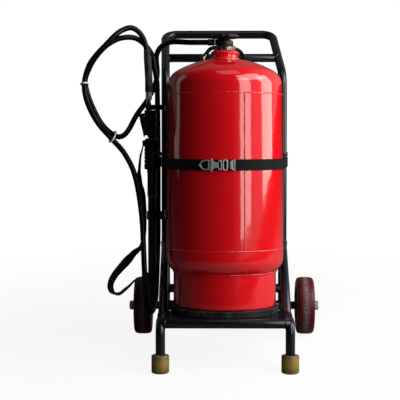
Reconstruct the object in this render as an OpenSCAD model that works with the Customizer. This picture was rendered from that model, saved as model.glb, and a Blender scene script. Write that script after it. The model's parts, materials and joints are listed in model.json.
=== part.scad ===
// Wheeled dry-powder fire extinguisher on a tubular steel trolley.
// The cylinder stands in a welded frame with two rear wheels and two front legs.
// It leans back by the angle at which the feet and the wheels both touch the floor.
// Lengths are in millimetres. Most pieces are drawn in the cylinder's own frame,
// where Z is the cylinder's axis, Z = 0 is the lower edge of its skirt and -Y is the front.

/* [Cylinder] */
// Diameter of the shell at its lower seam
shell_low_d = 297; // [280:1:305]
// Diameter of the shell at its upper seam
shell_high_d = 289; // [275:1:300]
// Height of the lower tangent line above the skirt's edge
shell_low_z = 125; // [110:1:150]
// Height of the upper tangent line above the skirt's edge
shell_high_z = 554; // [480:1:560]
// Steel thickness of the shell
shell_wall = 3; // [2:0.5:6]
// Radius of the crown of both domes
crown_r = 250; // [220:5:290]
// Radius of the knuckle of both domes
knuckle_r = 45; // [35:1:55]
// Width of the weld bead at each seam
seam_w = 5; // [3:0.5:8]
// Distance of each seam from its tangent line
seam_inset = 22; // [15:1:30]
// Gap between the skirt that the cylinder stands on and each side plane of the frame
skirt_gap = 27; // [25:1:40]
// Diameter of the welded neck
neck_d = 65; // [60:1:68]
// Height of the neck above the dome's pole
neck_h = 18; // [14:1:26]
// Thread diameter in the neck
neck_bore_d = 40; // [34:1:44]

/* [Rubber boot] */
// Width of the ribbed boot outside the skirt
boot_lip = 7; // [4:0.5:10]
// Height of the boot
boot_h = 15.5; // [12:0.5:20]
// Number of fine ribs round the boot
boot_ribs = 200; // [90:2:240]
// Depth of a rib
boot_rib_depth = 1.2; // [0.6:0.1:2]

/* [Trolley frame] */
// Outer diameter of the frame's tubes
tube_d = 23; // [20:0.5:25]
// Wall of the frame's tubes
tube_wall = 2; // [1.2:0.1:3]
// Distance between the two side planes, centre to centre
frame_w = 314; // [310:1:340]
// Distance of the legs in front of the cylinder's axis
leg_y = 150; // [148:1:170]
// Distance of the uprights and the axle behind the cylinder's axis
upright_y = 185; // [180:1:210]
// Height of the bend where the uprights turn back into the handle
handle_bend_z = 596; // [560:1:640]
// Angle of the handle from the uprights
handle_angle = 58; // [35:1:62]
// Length of the handle along its slope
handle_reach = 244; // [200:1:280]
// Radius of the handle's two top corners
handle_corner_r = 32; // [26:1:45]
// Distance of the handle's crossbar along the slope
crossbar_reach = 99; // [60:1:130]
// Set of the handle to the left, in degrees within its slope
handle_skew = 3.2; // [0:0.1:4]
// Inward taper of each side of the handle in degrees
handle_taper = 1.05; // [0:0.05:2]
// Bend radius where the uprights turn back
upright_bend_r = 60; // [40:1:90]
// Bend radius at the top of the legs
leg_bend_r = 28; // [24:1:40]
// Height of the crosspiece between the uprights behind the skirt
back_bar_z = 22; // [10:1:40]
// Height at which the braces meet the uprights
brace_top_z = 147; // [110:1:180]
// Distance behind the axis at which the braces leave the side rails
brace_foot_y = -23; // [-50:1:20]
// Width of the two flat rails under the boot
rail_w = 40; // [25:1:60]
// Thickness of the flat rails
rail_t = 6; // [4:0.5:10]
// Rear edge of the plate in front of the rails, behind the cylinder's axis
plate_y = 16; // [0:1:40]
// Thickness of the plates that the cylinder leans on
saddle_t = 5; // [4:0.5:8]

/* [Wheels and feet] */
// Diameter of the wheels
wheel_d = 153; // [140:1:170]
// Width of the tyres
tyre_w = 46; // [40:1:56]
// Distance from each side plane of the frame to the middle of its tyre
wheel_reach = 60.5; // [55:0.5:80]
// Diameter of the axle rod
axle_d = 16; // [12:1:18]
// Height of the axle in the cylinder's frame
axle_z = -24; // [-40:1:-20]
// Diameter of the rubber feet
foot_d = 43; // [38:1:50]
// Height of the feet
foot_h = 41.5; // [36:1:55]
// Height of the soles in the cylinder's frame
sole_z = -143; // [-170:1:-120]

/* [Valve] */
// Diameter of the plated ring nut
ring_nut_d = 56; // [50:1:60]
// Height of the ring nut
ring_nut_h = 13.5; // [10:0.5:18]
// Diameter of the valve body
valve_d = 42; // [36:1:46]
// Height of the valve body above the ring nut
valve_h = 15; // [13:1:16]
// Diameter of the handwheel
handwheel_d = 74; // [64:1:84]
// Thickness of the handwheel at its rim
handwheel_t = 14; // [12:0.5:18]
// Diameter of the valve's spindle
spindle_d = 10; // [8:0.5:12]
// Diameter of the dip tube
dip_tube_d = 22; // [18:1:26]

/* [Hose and gun] */
// Outer diameter of the discharge hose
hose_d = 13; // [11:0.5:14]
// Outer diameter of the bend protector on the hose
sleeve_d = 20; // [18:0.5:22]
// Outer diameter of the loop pipe on the shoulder
loop_d = 10; // [8:0.5:11]
// Diameter of the gun's foregrip
grip_d = 40; // [36:1:42]
// Diameter of the gun's valve block
block_d = 24; // [22:1:26]
// Diameter of the lance
lance_d = 21; // [18:0.5:23]
// Travel of the trigger in degrees
trigger_travel = 6; // [3:1:8]
// Thickness of the trigger
trigger_t = 12; // [10:1:14]

/* [Strap] */
// Width of the strap round the cylinder
strap_w = 27; // [24:1:32]
// Thickness of the strap's webbing
strap_t = 2.2; // [1.6:0.1:3]
// Height of the strap's middle on the cylinder
strap_z = 360; // [300:1:400]
// Tilt of the strap, lower at the front
strap_tilt = 1.2; // [0:0.5:3]
// Width of the gun's carrying sling
sling_w = 25; // [20:1:30]
// Thickness of the sling
sling_t = 2; // [1.5:0.1:3]

/* [Hidden] */

$fn = 64;

// Clearances
weld_gap = 0.1;      // between welded tubes, left for the bead
joint_gap = 0.02;    // between the straight runs and the bends of one tube
running_gap = 0.05;  // radial, between a turning piece and its shaft
seat_gap = 0.3;      // between a soft or clipped-on piece and what carries it

// Radii
tube_r = tube_d / 2;
axle_r = axle_d / 2;
sleeve_r = axle_r + 5.5;
hose_r = hose_d / 2;
lance_r = lance_d / 2;
shell_low_r = shell_low_d / 2;
shell_high_r = shell_high_d / 2;
side_x = frame_w / 2;
skirt_d = frame_w - 2 * skirt_gap;
boot_d = skirt_d + 2 * boot_lip;
track_w = frame_w + 2 * wheel_reach;

// Stance: the floor line runs from the soles to the tangent of the wheels
axle_dist = norm([upright_y + leg_y, axle_z - sole_z]);
lean = atan2(axle_z - sole_z, upright_y + leg_y) - asin(wheel_d / 2 / axle_dist);
floor_shift = -leg_y * sin(lean) - sole_z * cos(lean);
foot_front = -leg_y * cos(lean) + sole_z * sin(lean) - foot_d / 2 / cos(lean);
handle_y = upright_y + handle_reach * sin(handle_angle);
handle_z = handle_bend_z + handle_reach * cos(handle_angle);
handle_back = handle_y * cos(lean) + handle_z * sin(lean) + tube_r;
depth_shift = -(foot_front + handle_back) / 2;

// Heights in the cylinder's frame
crown_drop = sqrt(pow(crown_r - knuckle_r, 2) - pow(shell_high_r - knuckle_r, 2));
crown_centre_z = shell_high_z - crown_drop;
pole_z = crown_centre_z + crown_r;
neck_z = pole_z + neck_h;
valve_z = neck_z + ring_nut_h;
valve_top_z = valve_z + valve_h;
handwheel_z = valve_top_z + 2;
crossbar_z = -boot_h - tube_r;
crossbar_y = -leg_y + 7;
outlet_z = valve_z + 8.7;

// The gun hangs beside the left upright; its inlet stands a little further out
gun_x = -188;
gun_y = 70;
inlet_x = -196;
ferrule_top_z = 544;
ferrule_h = 20;
inlet_h = 27;
collar_h = 8;
collar_top_z = ferrule_top_z - ferrule_h - inlet_h;
block_top_z = collar_top_z - collar_h;
grip_top_z = 425;
grip_end_z = 344;
barrel_end_z = 276;
lance_end_z = -1;
trigger_pivot = [gun_x - 19, block_top_z - 6];

// Wheel layout along the axle
wheel_r = wheel_d / 2;
hub_r = 50;
hub_inner_x = track_w / 2 - tyre_w / 2 - 4;
hub_outer_x = track_w / 2 + tyre_w / 2 + 1.5;
washer_t = 2.2;
nut_h = 9.5;
rod_end_x = hub_outer_x + 2 * seat_gap + washer_t + nut_h + 1;
sleeve_end_x = side_x + tube_r;

// Discharge hose: from the valve down behind the gun, under the lance and round to the gun
hose_route = [
    [-43, 0, 665], [-87, 0, 665], [-142, 35, 668], [-174, 98, 645], [-176, 131, 585],
    [-193, 123, 538], [-229, 103, 487], [-259, 73, 435], [-295, 44, 431], [-326, 25, 470],
    [-356, 41, 563], [-350, 47, 605], [-327, 54, 643], [-297, 62, 671], [-264, 72, 684],
    [-226, 86, 679], [-193, 96, 648], [-177, 100, 609], [-172.5, 107, 562], [-172, 115, 190],
    [-176, 105, 65], [-180, 88, -2], [-189, 32, -22], [-199, -10, 8], [-203, -25, 104],
    [-212, 17, 229], [-234, 23, 333], [-263, 26, 388], [-294, 29, 425], [-323, 10, 464],
    [-354, 20, 516], [-366, 30, 563], [-358, 29, 609], [-336, 27, 644], [-309, 27, 672],
    [-286, 34, 695], [-263, 50, 710], [-238, 66, 708], [-216, 77, 689], [-202, 78, 654]];
// Rest of the hose, inside its bend protector, down to the gun's ferrule
sleeve_route = [[-198, 74, 611], [-196, 70, 575], [-196, 70, ferrule_top_z]];
// Points of the hose where a tie holds two strands together, and the tie's slack there
tie_pairs = [[8, 28, 3.2], [10, 31, 1.1]];
ring_step = 32;
tie_w = 4;
tie_t = 1.3;
// Shoulder unions: distance from the axis, direction, and lean towards the axis in degrees
union_left = [54, 180, 48];
union_right = [100, 61, 30];
union_h = 12.5;
function on_dome(place, h) =
    let (out = [cos(place[1]), sin(place[1])] * (crown_r + h) * place[0] / crown_r)
    [out.x, out.y, crown_centre_z + (crown_r + h) * cos(asin(place[0] / crown_r))];
// A point of the union's outlet, h along it from its elbow
function union_point(place, h) =
    let (a = asin(place[0] / crown_r) - place[2])
    on_dome(place, 6) + h * [cos(place[1]) * sin(a), sin(place[1]) * sin(a), cos(a)];
// Small pipe that loops behind the valve from one union to the other
loop_route = [union_point(union_left, union_h + 0.05), union_point(union_left, union_h + 6),
    [-38, 6, 648], [-29, 22, 653], [-12, 37, 655], [8, 45, 655.5], [26, 53, 653.5], [38, 64.5, 649],
    [45, 76, 642], [48, 84.5, 633],
    union_point(union_right, union_h + 4), union_point(union_right, union_h + 0.05)];
// Sling: centre, and how far the webbing turns from edge-on to flat-on
sling_route = [
    [[gun_x - grip_d / 2 - 2.2, 50, 419], 0], [[gun_x - grip_d / 2 - 2.2, 50, 404], 0],
    [[-216, 46, 379], 5], [[-219, 44, 345], 10],
    [[-221, 43, 310], 46], [[-213, 42, 284], 38], [[-208, 41, 251], 27], [[-207, 39, 213], 25],
    [[-207, 37, 180], 20], [[-214, 35, 147], 21], [[-232, 33, 130], 38], [[-251, 32, 109], 60],
    [[-269, 31, 89], 50], [[-284, 30, 70], 42], [[-293, 30, 49], 34], [[-291, 30, 34], 27],
    [[-282, 30, 26], 5], [[-270, 31, 25], 12], [[-258, 33, 34], 14], [[-245, 37, 45], 10],
    [[-233, 43, 57], 5], [[-220, 52, 64], 0], [[-201.2, 62, 65], 0]];

// ---------- shared shapes ----------

function unit(v) = v / norm(v);
function heading(p, i) = unit(p[min(i + 1, len(p) - 1)] - p[max(i - 1, 0)]);
function hermite(a, b, da, db, t) =
    (2 * pow(t, 3) - 3 * pow(t, 2) + 1) * a + (pow(t, 3) - 2 * pow(t, 2) + t) * da
    + (3 * pow(t, 2) - 2 * pow(t, 3)) * b + (pow(t, 3) - pow(t, 2)) * db;
// Points along a smooth curve through p, about one for each step of length
function smooth_path(p, step) = concat(
    [for (i = [0 : len(p) - 2])
        let (l = norm(p[i + 1] - p[i]), n = max(1, round(l / step)))
        for (k = [0 : n - 1])
            hermite(p[i], p[i + 1], heading(p, i) * l, heading(p, i + 1) * l, k / n)],
    [p[len(p) - 1]]);
// A side vector for each point, carried along the path without twist
function carried(p, i, side) = i >= len(p) ? [] :
    let (t = heading(p, i), u = unit(side - (side * t) * t))
    concat([u], carried(p, i + 1, u));
function ring_at(centre, u, v, r, sides) =
    [for (k = [0 : sides - 1]) centre + r * (cos(360 * k / sides) * u + sin(360 * k / sides) * v)];

// Closed skin over rings that all have as many points
module skin(rings) {
    n = len(rings[0]);
    last = len(rings) - 1;
    polyhedron(
        points = [for (ring = rings) for (p = ring) p],
        faces = concat(
            [[for (k = [0 : n - 1]) k]],
            [[for (k = [n - 1 : -1 : 0]) last * n + k]],
            [for (i = [0 : last - 1]) for (k = [0 : n - 1])
                [i * n + k, (i + 1) * n + k, (i + 1) * n + (k + 1) % n]],
            [for (i = [0 : last - 1]) for (k = [0 : n - 1])
                [i * n + k, (i + 1) * n + (k + 1) % n, i * n + (k + 1) % n]]),
        convexity = 10);
}

// Round flexible tube along the stretch from one to the other of a path's points
module flexible_tube(p, r, first, last, sides = 10) {
    side = carried(p, 0, [0, 1, 0.02]);
    skin([for (i = [first : last])
        ring_at(p[i], side[i], cross(heading(p, i), side[i]), r, sides)]);
}

// Flat band of constant width and thickness along a plane outline of points
module band(points, thickness, width) {
    normals = [for (i = [0 : len(points) - 1])
        let (t = heading(points, i)) [-t.y, t.x]];
    linear_extrude(width, center = true)
        polygon(concat(
            [for (i = [0 : len(points) - 1]) points[i] + normals[i] * thickness / 2],
            [for (i = [len(points) - 1 : -1 : 0]) points[i] - normals[i] * thickness / 2]));
}
function arc(centre, r, from, to, n) =
    [for (k = [0 : n]) let (a = from + (to - from) * k / n) centre + r * [cos(a), sin(a)]];

// Straight rod between two points
module rod(a, b, r) {
    d = b - a;
    translate(a) rotate([0, acos(d.z / norm(d)), atan2(d.y, d.x)])
        cylinder(h = norm(d), r = r);
}

// Disc, or ring with a bore
module disc(r, bore) {
    difference() {
        circle(r);
        if (bore > 0) circle(bore);
    }
}
// Run of a bent bar or tube in the XY plane through the corners, with one bend radius
module bent_bar(corners, bend, r, bore = 0) {
    function way(i) = atan2(corners[i + 1].y - corners[i].y, corners[i + 1].x - corners[i].x);
    function turn(i) = let (a = way(i) - way(i - 1)) a > 180 ? a - 360 : a < -180 ? a + 360 : a;
    function trim(i) = i == 0 || i == len(corners) - 1 ? 0 : bend * tan(abs(turn(i)) / 2);
    function inset(i) = trim(i) + (bore > 0 && trim(i) > 0 ? joint_gap : 0);
    for (i = [0 : len(corners) - 2])
        translate(corners[i] + inset(i) * [cos(way(i)), sin(way(i))])
            rotate([0, 90, way(i)])
                linear_extrude(norm(corners[i + 1] - corners[i]) - inset(i) - inset(i + 1)) disc(r, bore);
    for (i = [1 : len(corners) - 2]) {
        left = turn(i) > 0 ? 1 : -1;
        start = corners[i] - trim(i) * [cos(way(i - 1)), sin(way(i - 1))];
        centre = start + left * bend * [-sin(way(i - 1)), cos(way(i - 1))];
        translate(centre)
            rotate([0, 0, left > 0 ? way(i - 1) - 90 : way(i - 1) + 90 + turn(i)])
                rotate_extrude(angle = abs(turn(i)))
                    translate([bend, 0]) disc(r, bore);
    }
}
// Turns the XY plane into the YZ plane
module side_plane(x) { translate([x, 0, 0]) rotate([90, 0, 90]) children(); }
// Places pieces of the cylinder's frame on the floor
module stood() { translate([0, depth_shift, floor_shift]) rotate([-lean, 0, 0]) children(); }
// Turns a piece made along Z onto the axle, outwards on either side
module on_axle(side) {
    translate([0, upright_y, axle_z]) rotate([0, side * 90, 0]) children();
}

// ---------- cylinder ----------

// Outline of a dome from the shell's tangent line to the axis; up is 1 or -1
function dome(r, z, up, crown, knuckle) =
    let (drop = sqrt(pow(crown - knuckle, 2) - pow(r - knuckle, 2)),
        join = atan2(drop, r - knuckle))
    concat(
        [for (p = arc([r - knuckle, 0], knuckle, 0, join, 8)) [p.x, z + up * p.y]],
        [for (p = arc([0, -drop], crown, join, 90, 12)) [max(p.x, 0), z + up * p.y]]);
function backwards(list) = [for (i = [len(list) - 1 : -1 : 0]) list[i]];
module shell_form(inset) {
    rotate_extrude($fn = 180)
        polygon(concat(
            backwards(dome(shell_low_r - inset, shell_low_z, -1, crown_r - inset, knuckle_r - inset)),
            dome(shell_high_r - inset, shell_high_z, 1, crown_r - inset, knuckle_r - inset)));
}
function shell_r_at(z) = shell_low_r
    + (shell_high_r - shell_low_r) * (z - shell_low_z) / (shell_high_z - shell_low_z);
module weld_bead(z) {
    bead_h = 1.1;
    r = shell_r_at(z) - 0.2;
    rotate_extrude($fn = 180)
        polygon([[r - 1, z - seam_w / 2], [r + 0.3, z - seam_w / 2], [r + bead_h, z - seam_w / 5],
            [r + bead_h, z + seam_w / 5], [r + 0.3, z + seam_w / 2], [r - 1, z + seam_w / 2]]);
}

module tank_shell() {
    color("crimson") difference() {
        union() {
            shell_form(0);
            weld_bead(shell_low_z + seam_inset);
            weld_bead(shell_high_z - seam_inset);
        }
        shell_form(shell_wall);
        translate([0, 0, shell_high_z]) cylinder(h = 200, d = neck_bore_d + 4);
    }
}
module neck_collar() {
    flange_h = 7;
    color("crimson") difference() {
        rotate_extrude()
            polygon([[neck_bore_d / 2, pole_z - 15], [neck_d / 2 + 3, pole_z - 15],
                [neck_d / 2 + 3, pole_z - 1.5], [neck_d / 2, pole_z + 1.5],
                [neck_d / 2, neck_z - flange_h - 3.5], [neck_d / 2 + 3, neck_z - flange_h],
                [neck_d / 2 + 3.5, neck_z - flange_h + 2], [neck_d / 2 - 1, neck_z],
                [neck_bore_d / 2, neck_z]]);
        shell_form(-weld_gap);
    }
}
module tank_skirt() {
    skirt_r = skirt_d / 2;
    roll_r = 7;
    color("crimson") difference() {
        rotate_extrude($fn = 180)
            polygon(concat(
                [[skirt_r - shell_wall, roll_r + 2], [skirt_r - shell_wall - 3, 3]],
                [[skirt_r - roll_r - 4, 2.5], [skirt_r - roll_r - 4, 0]],
                arc([skirt_r - roll_r, roll_r], roll_r, -90, 0, 6),
                [[skirt_r, shell_low_z], [skirt_r - shell_wall, shell_low_z]]));
        shell_form(-weld_gap);
    }
}
// Moulded ring with fine upright ribs round its edge
module base_boot() {
    boot_r = boot_d / 2;
    color([0.07, 0.08, 0.09]) translate([0, 0, -boot_h]) difference() {
        linear_extrude(boot_h)
            polygon([for (i = [0 : 2 * boot_ribs - 1])
                (boot_r - (i % 2) * boot_rib_depth)
                    * [cos(180 * i / boot_ribs), sin(180 * i / boot_ribs)]]);
        translate([0, 0, -1]) cylinder(h = boot_h + 2, d = skirt_d - 40, $fn = 180);
    }
}
module dip_tube() {
    shank_bottom = neck_z - 42;
    color("gainsboro") difference() {
        translate([0, 0, shell_low_z - 45])
            cylinder(h = shank_bottom - shell_low_z + 45, d = dip_tube_d);
        translate([0, 0, shell_low_z - 46])
            cylinder(h = shank_bottom - shell_low_z + 48, d = dip_tube_d - 3);
        translate([0, 0, shell_low_z - 45]) rotate([0, 30, 0])
            translate([-40, -20, -40]) cube([80, 40, 40]);
    }
}

// ---------- valve ----------

module ring_nut() {
    r = ring_nut_d / 2;
    color("silver") difference() {
        rotate_extrude()
            polygon([[valve_d / 2 - 6, neck_z], [r - 1, neck_z], [r, neck_z + 1],
                [r, neck_z + ring_nut_h * 0.68], [r - 1.2, neck_z + ring_nut_h * 0.72],
                [r - 4, neck_z + ring_nut_h], [valve_d / 2 - 6, neck_z + ring_nut_h]]);
        for (a = [15 : 60 : 330]) rotate([0, 0, a])
            translate([r + 0.5, 0, neck_z - 1]) cylinder(h = ring_nut_h * 0.68 + 1, r = 2.4);
    }
}
module valve_body() {
    stem_r = valve_d / 2 - 6 - running_gap;
    color([0.1, 0.11, 0.12]) difference() {
        union() {
            rotate_extrude()
                polygon([[0, neck_z - 42], [neck_bore_d / 2 - 4, neck_z - 42],
                    [neck_bore_d / 2 - running_gap, neck_z - 38], [neck_bore_d / 2 - running_gap, neck_z - 6],
                    [stem_r, neck_z - 6], [stem_r, valve_z], [valve_d / 2 - 0.8, valve_z],
                    [valve_d / 2, valve_z + 1], [valve_d / 2, valve_z + valve_h * 0.75],
                    [valve_d / 2 - 2, valve_z + valve_h * 0.85], [valve_d / 2 - 8, valve_top_z],
                    [0, valve_top_z]]);
            translate([0, 0, outlet_z]) rotate([0, -90, 0]) cylinder(h = valve_d / 2 + 4, r = 7.4);
        }
        translate([0, 0, neck_z - 20]) cylinder(h = 100, d = spindle_d + 2 * running_gap);
        translate([0, 0, neck_z - 43]) cylinder(h = 20, d = dip_tube_d - 4);
        translate([0, 0, outlet_z]) rotate([0, -90, 0])
            translate([0, 0, valve_d / 2 - 4]) cylinder(h = 20, r = 5);
    }
}
module valve_spindle() {
    color("goldenrod") difference() {
        translate([0, 0, neck_z - 19]) cylinder(h = handwheel_z + hub_depth - neck_z + 19, d = spindle_d);
        translate([spindle_d / 2 - 1, -spindle_d, handwheel_z - 0.5]) cube([5, 2 * spindle_d, 100]);
    }
}
// Lobed handwheel with a domed top; its blind hub sits on the flat of the spindle
hub_depth = 9;
module handwheel() {
    r = handwheel_d / 2;
    lobe_r = 26;
    color([0.08, 0.09, 0.1]) translate([0, 0, handwheel_z]) difference() {
        rotate_extrude($fn = 96)
            polygon([[0, 0], [spindle_d / 2 + 6, 0], [spindle_d / 2 + 8, 3], [r - 9, 4], [r - 4, 2],
                [r - 1, 3], [r, 5], [r - 0.8, 8], [r - 4, handwheel_t - 3],
                [r - 9, handwheel_t - 1.2], [r - 16, handwheel_t - 0.3], [0, handwheel_t]]);
        for (a = [0 : 45 : 315]) rotate([0, 0, a])
            translate([r + lobe_r - 2.2, 0, -1]) cylinder(h = handwheel_t + 2, r = lobe_r);
        difference() {
            translate([0, 0, -1]) cylinder(h = hub_depth + 1.2, d = spindle_d + 2 * running_gap);
            translate([spindle_d / 2 - 1 + running_gap, -spindle_d, -2])
                cube([5, 2 * spindle_d, handwheel_t + 4]);
        }
    }
}
module outlet_elbow() {
    start_x = valve_d / 2 + 4 + seat_gap;
    color([0.1, 0.1, 0.11]) translate([0, 0, outlet_z]) rotate([0, -90, 0]) difference() {
        union() {
            translate([0, 0, start_x]) rotate([0, 0, 30]) cylinder(h = 9, r = 9.2, $fn = 6);
            translate([0, 0, start_x + 9]) cylinder(h = -hose_route[0].x - start_x - 9 - 0.05, r = 8.2);
        }
        translate([0, 0, start_x - 1]) cylinder(h = 50, r = 4);
    }
}
// Welded stub, square to the dome at its place, with a nut and pipe tail that may lean
module shoulder_union(place) {
    color("khaki") translate(on_dome(place, 0)) rotate([0, asin(place[0] / crown_r), place[1]]) {
        translate([0, 0, weld_gap]) cylinder(h = 9 - weld_gap, r = 7);
        translate([0, 0, 6]) rotate([0, -place[2], 0]) {
            cylinder(h = 10, r = 6.8, $fn = 6);
            cylinder(h = union_h, r = loop_d / 2 + 0.8);
        }
    }
}
module shoulder_union_left() { shoulder_union(union_left); }
module shoulder_union_right() { shoulder_union(union_right); }
module shoulder_loop() {
    path = smooth_path(loop_route, 14);
    color([0.06, 0.06, 0.07]) flexible_tube(path, loop_d / 2, 0, len(path) - 1);
}

// ---------- trolley frame ----------

// The handle's slope runs back and up, set a little to the left and tapered
function slant(side) = handle_skew + side * handle_taper;
function on_slope(side, s) = [side * side_x - s * tan(slant(side)),
    upright_y + s * sin(handle_angle), handle_bend_z + s * cos(handle_angle)];
splice = handle_reach - handle_corner_r - 20;
module upright_bar(side, r, bore = 0) {
    a = slant(side);
    fall = acos(cos(a) * cos(handle_angle));
    bent_from = handle_bend_z - upright_bend_r - 40;
    translate([side * side_x, upright_y, axle_z])
        linear_extrude(bent_from - axle_z - (bore > 0 ? joint_gap : 0)) disc(r, bore);
    translate([side * side_x, upright_y, 0])
        rotate([90, 0, 90 + atan2(sin(a), cos(a) * sin(handle_angle))])
            bent_bar([[0, bent_from], [0, handle_bend_z], [0, handle_bend_z] + splice * [sin(fall), cos(fall)]],
                upright_bend_r, r, bore);
}
module upright(side) {
    color([0.07, 0.08, 0.1]) difference() {
        upright_bar(side, tube_r, tube_r - tube_wall);
        sleeve_bar(sleeve_r + weld_gap);
    }
}
module upright_left() { upright(-1); }
module upright_right() { upright(1); }
module handle_bar() {
    function end(side, s) = [side * side_x - s * sin(slant(side)), s * cos(slant(side))];
    function corner(side) = [side * side_x - handle_reach * tan(slant(side)), handle_reach];
    color([0.07, 0.08, 0.1]) translate([0, upright_y, handle_bend_z]) rotate([90 - handle_angle, 0, 0])
        bent_bar([end(-1, splice + weld_gap), corner(-1), corner(1), end(1, splice + weld_gap)],
            handle_corner_r, tube_r, tube_r - tube_wall);
}
module handle_crossbar() {
    reach = tube_r + weld_gap;
    color([0.07, 0.08, 0.1]) translate([0, upright_y, handle_bend_z]) rotate([90 - handle_angle, 0, 0])
        difference() {
            rod([-side_x, crossbar_reach, 0], [side_x, crossbar_reach, 0], tube_r);
            rod([-side_x - 1, crossbar_reach, 0], [side_x + 1, crossbar_reach, 0], tube_r - tube_wall);
            for (side = [-1, 1])
                translate([side * side_x - crossbar_reach * tan(slant(side)), crossbar_reach, 0])
                    rotate([0, 0, slant(side)]) translate([side > 0 ? -reach : reach - 60, -30, -30])
                        cube([60, 60, 60]);
        }
}
module leg_bar(x, r, bore = 0) {
    side_plane(x)
        bent_bar([[-leg_y, sole_z + 10], [-leg_y, axle_z], [upright_y, axle_z]], leg_bend_r, r, bore);
}
module leg(side) {
    color([0.07, 0.08, 0.1]) difference() {
        leg_bar(side * side_x, tube_r, tube_r - tube_wall);
        sleeve_bar(sleeve_r + weld_gap);
        upright_bar(side, tube_r + weld_gap);
    }
}
module leg_left() { leg(-1); }
module leg_right() { leg(1); }
module brace_bar(side, r) {
    rod([side * side_x, brace_foot_y, axle_z], [side * side_x, upright_y, brace_top_z], r);
}
module brace(side) {
    color([0.07, 0.08, 0.1]) difference() {
        brace_bar(side, tube_r);
        brace_bar(side, tube_r - tube_wall);
        leg_bar(side * side_x, tube_r + weld_gap);
        upright_bar(side, tube_r + weld_gap);
    }
}
module brace_left() { brace(-1); }
module brace_right() { brace(1); }
module front_bar(r) { rod([-side_x, crossbar_y, crossbar_z], [side_x, crossbar_y, crossbar_z], r); }
module front_crossbar() {
    color([0.07, 0.08, 0.1]) difference() {
        front_bar(tube_r);
        front_bar(tube_r - tube_wall);
        for (side = [-1, 1]) leg_bar(side * side_x, tube_r + weld_gap);
    }
}
module sleeve_bar(r) {
    translate([-sleeve_end_x, upright_y, axle_z]) rotate([0, 90, 0]) cylinder(h = 2 * sleeve_end_x, r = r);
}
module axle_sleeve() {
    color([0.07, 0.08, 0.1]) difference() {
        sleeve_bar(sleeve_r);
        translate([-sleeve_end_x - 1, upright_y, axle_z]) rotate([0, 90, 0])
            cylinder(h = 2 * sleeve_end_x + 2, r = axle_r + running_gap);
    }
}
module back_crossbar() {
    color([0.07, 0.08, 0.1]) difference() {
        rod([-side_x, upright_y, back_bar_z], [side_x, upright_y, back_bar_z], tube_r);
        rod([-side_x - 1, upright_y, back_bar_z], [side_x + 1, upright_y, back_bar_z], tube_r - tube_wall);
        for (side = [-1, 1]) upright_bar(side, tube_r + weld_gap);
        sleeve_bar(sleeve_r + weld_gap);
    }
}
// Two flat rails, and a plate in front that is cut out under the boot
module base_rails() {
    color([0.07, 0.08, 0.1]) difference() {
        union() {
            for (side = [-1, 1])
                translate([side * 70 - rail_w / 2, crossbar_y, -boot_h - rail_t])
                    cube([rail_w, upright_y - crossbar_y, rail_t]);
            translate([0, 0, -boot_h - rail_t]) linear_extrude(rail_t) difference() {
                translate([-side_x, crossbar_y]) square([2 * side_x, plate_y - crossbar_y]);
                circle(d = skirt_d - 40, $fn = 180);
            }
        }
        front_bar(tube_r + weld_gap);
        sleeve_bar(sleeve_r + weld_gap);
        for (side = [-1, 1]) {
            leg_bar(side * side_x, tube_r + weld_gap);
            brace_bar(side, tube_r + weld_gap);
        }
    }
}
// Plate between the uprights, cut to the round of the cylinder
module saddle(z) {
    color([0.07, 0.08, 0.1]) translate([0, 0, z]) difference() {
        linear_extrude(saddle_t) difference() {
            polygon([[-side_x, upright_y - tube_r], [-118, 100], [118, 100], [side_x, upright_y - tube_r],
                [side_x, upright_y + 4], [-side_x, upright_y + 4]]);
            circle(r = shell_r_at(z) + seat_gap, $fn = 180);
            for (side = [-1, 1]) translate([side * side_x, upright_y]) circle(r = tube_r + weld_gap);
        }
    }
}
module saddle_upper() { saddle(shell_high_z - 134); }
module saddle_lower() { saddle(shell_low_z + 60); }

// ---------- wheels, axle and feet ----------

module foot(side) {
    color([0.62, 0.5, 0.22]) intersection() {
        stood() translate([side * side_x, -leg_y, 0]) difference() {
            rotate_extrude()
                polygon([[0, sole_z - 20], [foot_d / 2, sole_z - 20], [foot_d / 2, sole_z + foot_h - 2.5],
                    [foot_d / 2 - 0.8, sole_z + foot_h - 0.7], [foot_d / 2 - 2.5, sole_z + foot_h],
                    [0, sole_z + foot_h]]);
            translate([0, 0, sole_z + 10]) cylinder(h = foot_h, r = tube_r + weld_gap);
        }
        translate([-frame_w, -2 * frame_w, 0]) cube([2 * frame_w, 4 * frame_w, frame_w]);
    }
}
module foot_left() { foot(-1); }
module foot_right() { foot(1); }
module axle_rod() {
    color("silver") translate([-rod_end_x, upright_y, axle_z]) rotate([0, 90, 0]) {
        cylinder(h = 2 * rod_end_x, r = axle_r);
    }
}
module axle_bushes() {
    for (side = [-1, 1]) color([0.1, 0.1, 0.1]) on_axle(side) difference() {
        translate([0, 0, sleeve_end_x + seat_gap])
            cylinder(h = hub_inner_x - sleeve_end_x - 2 * seat_gap, r = axle_r + 2.5);
        cylinder(h = track_w, r = axle_r + running_gap);
    }
}
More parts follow.
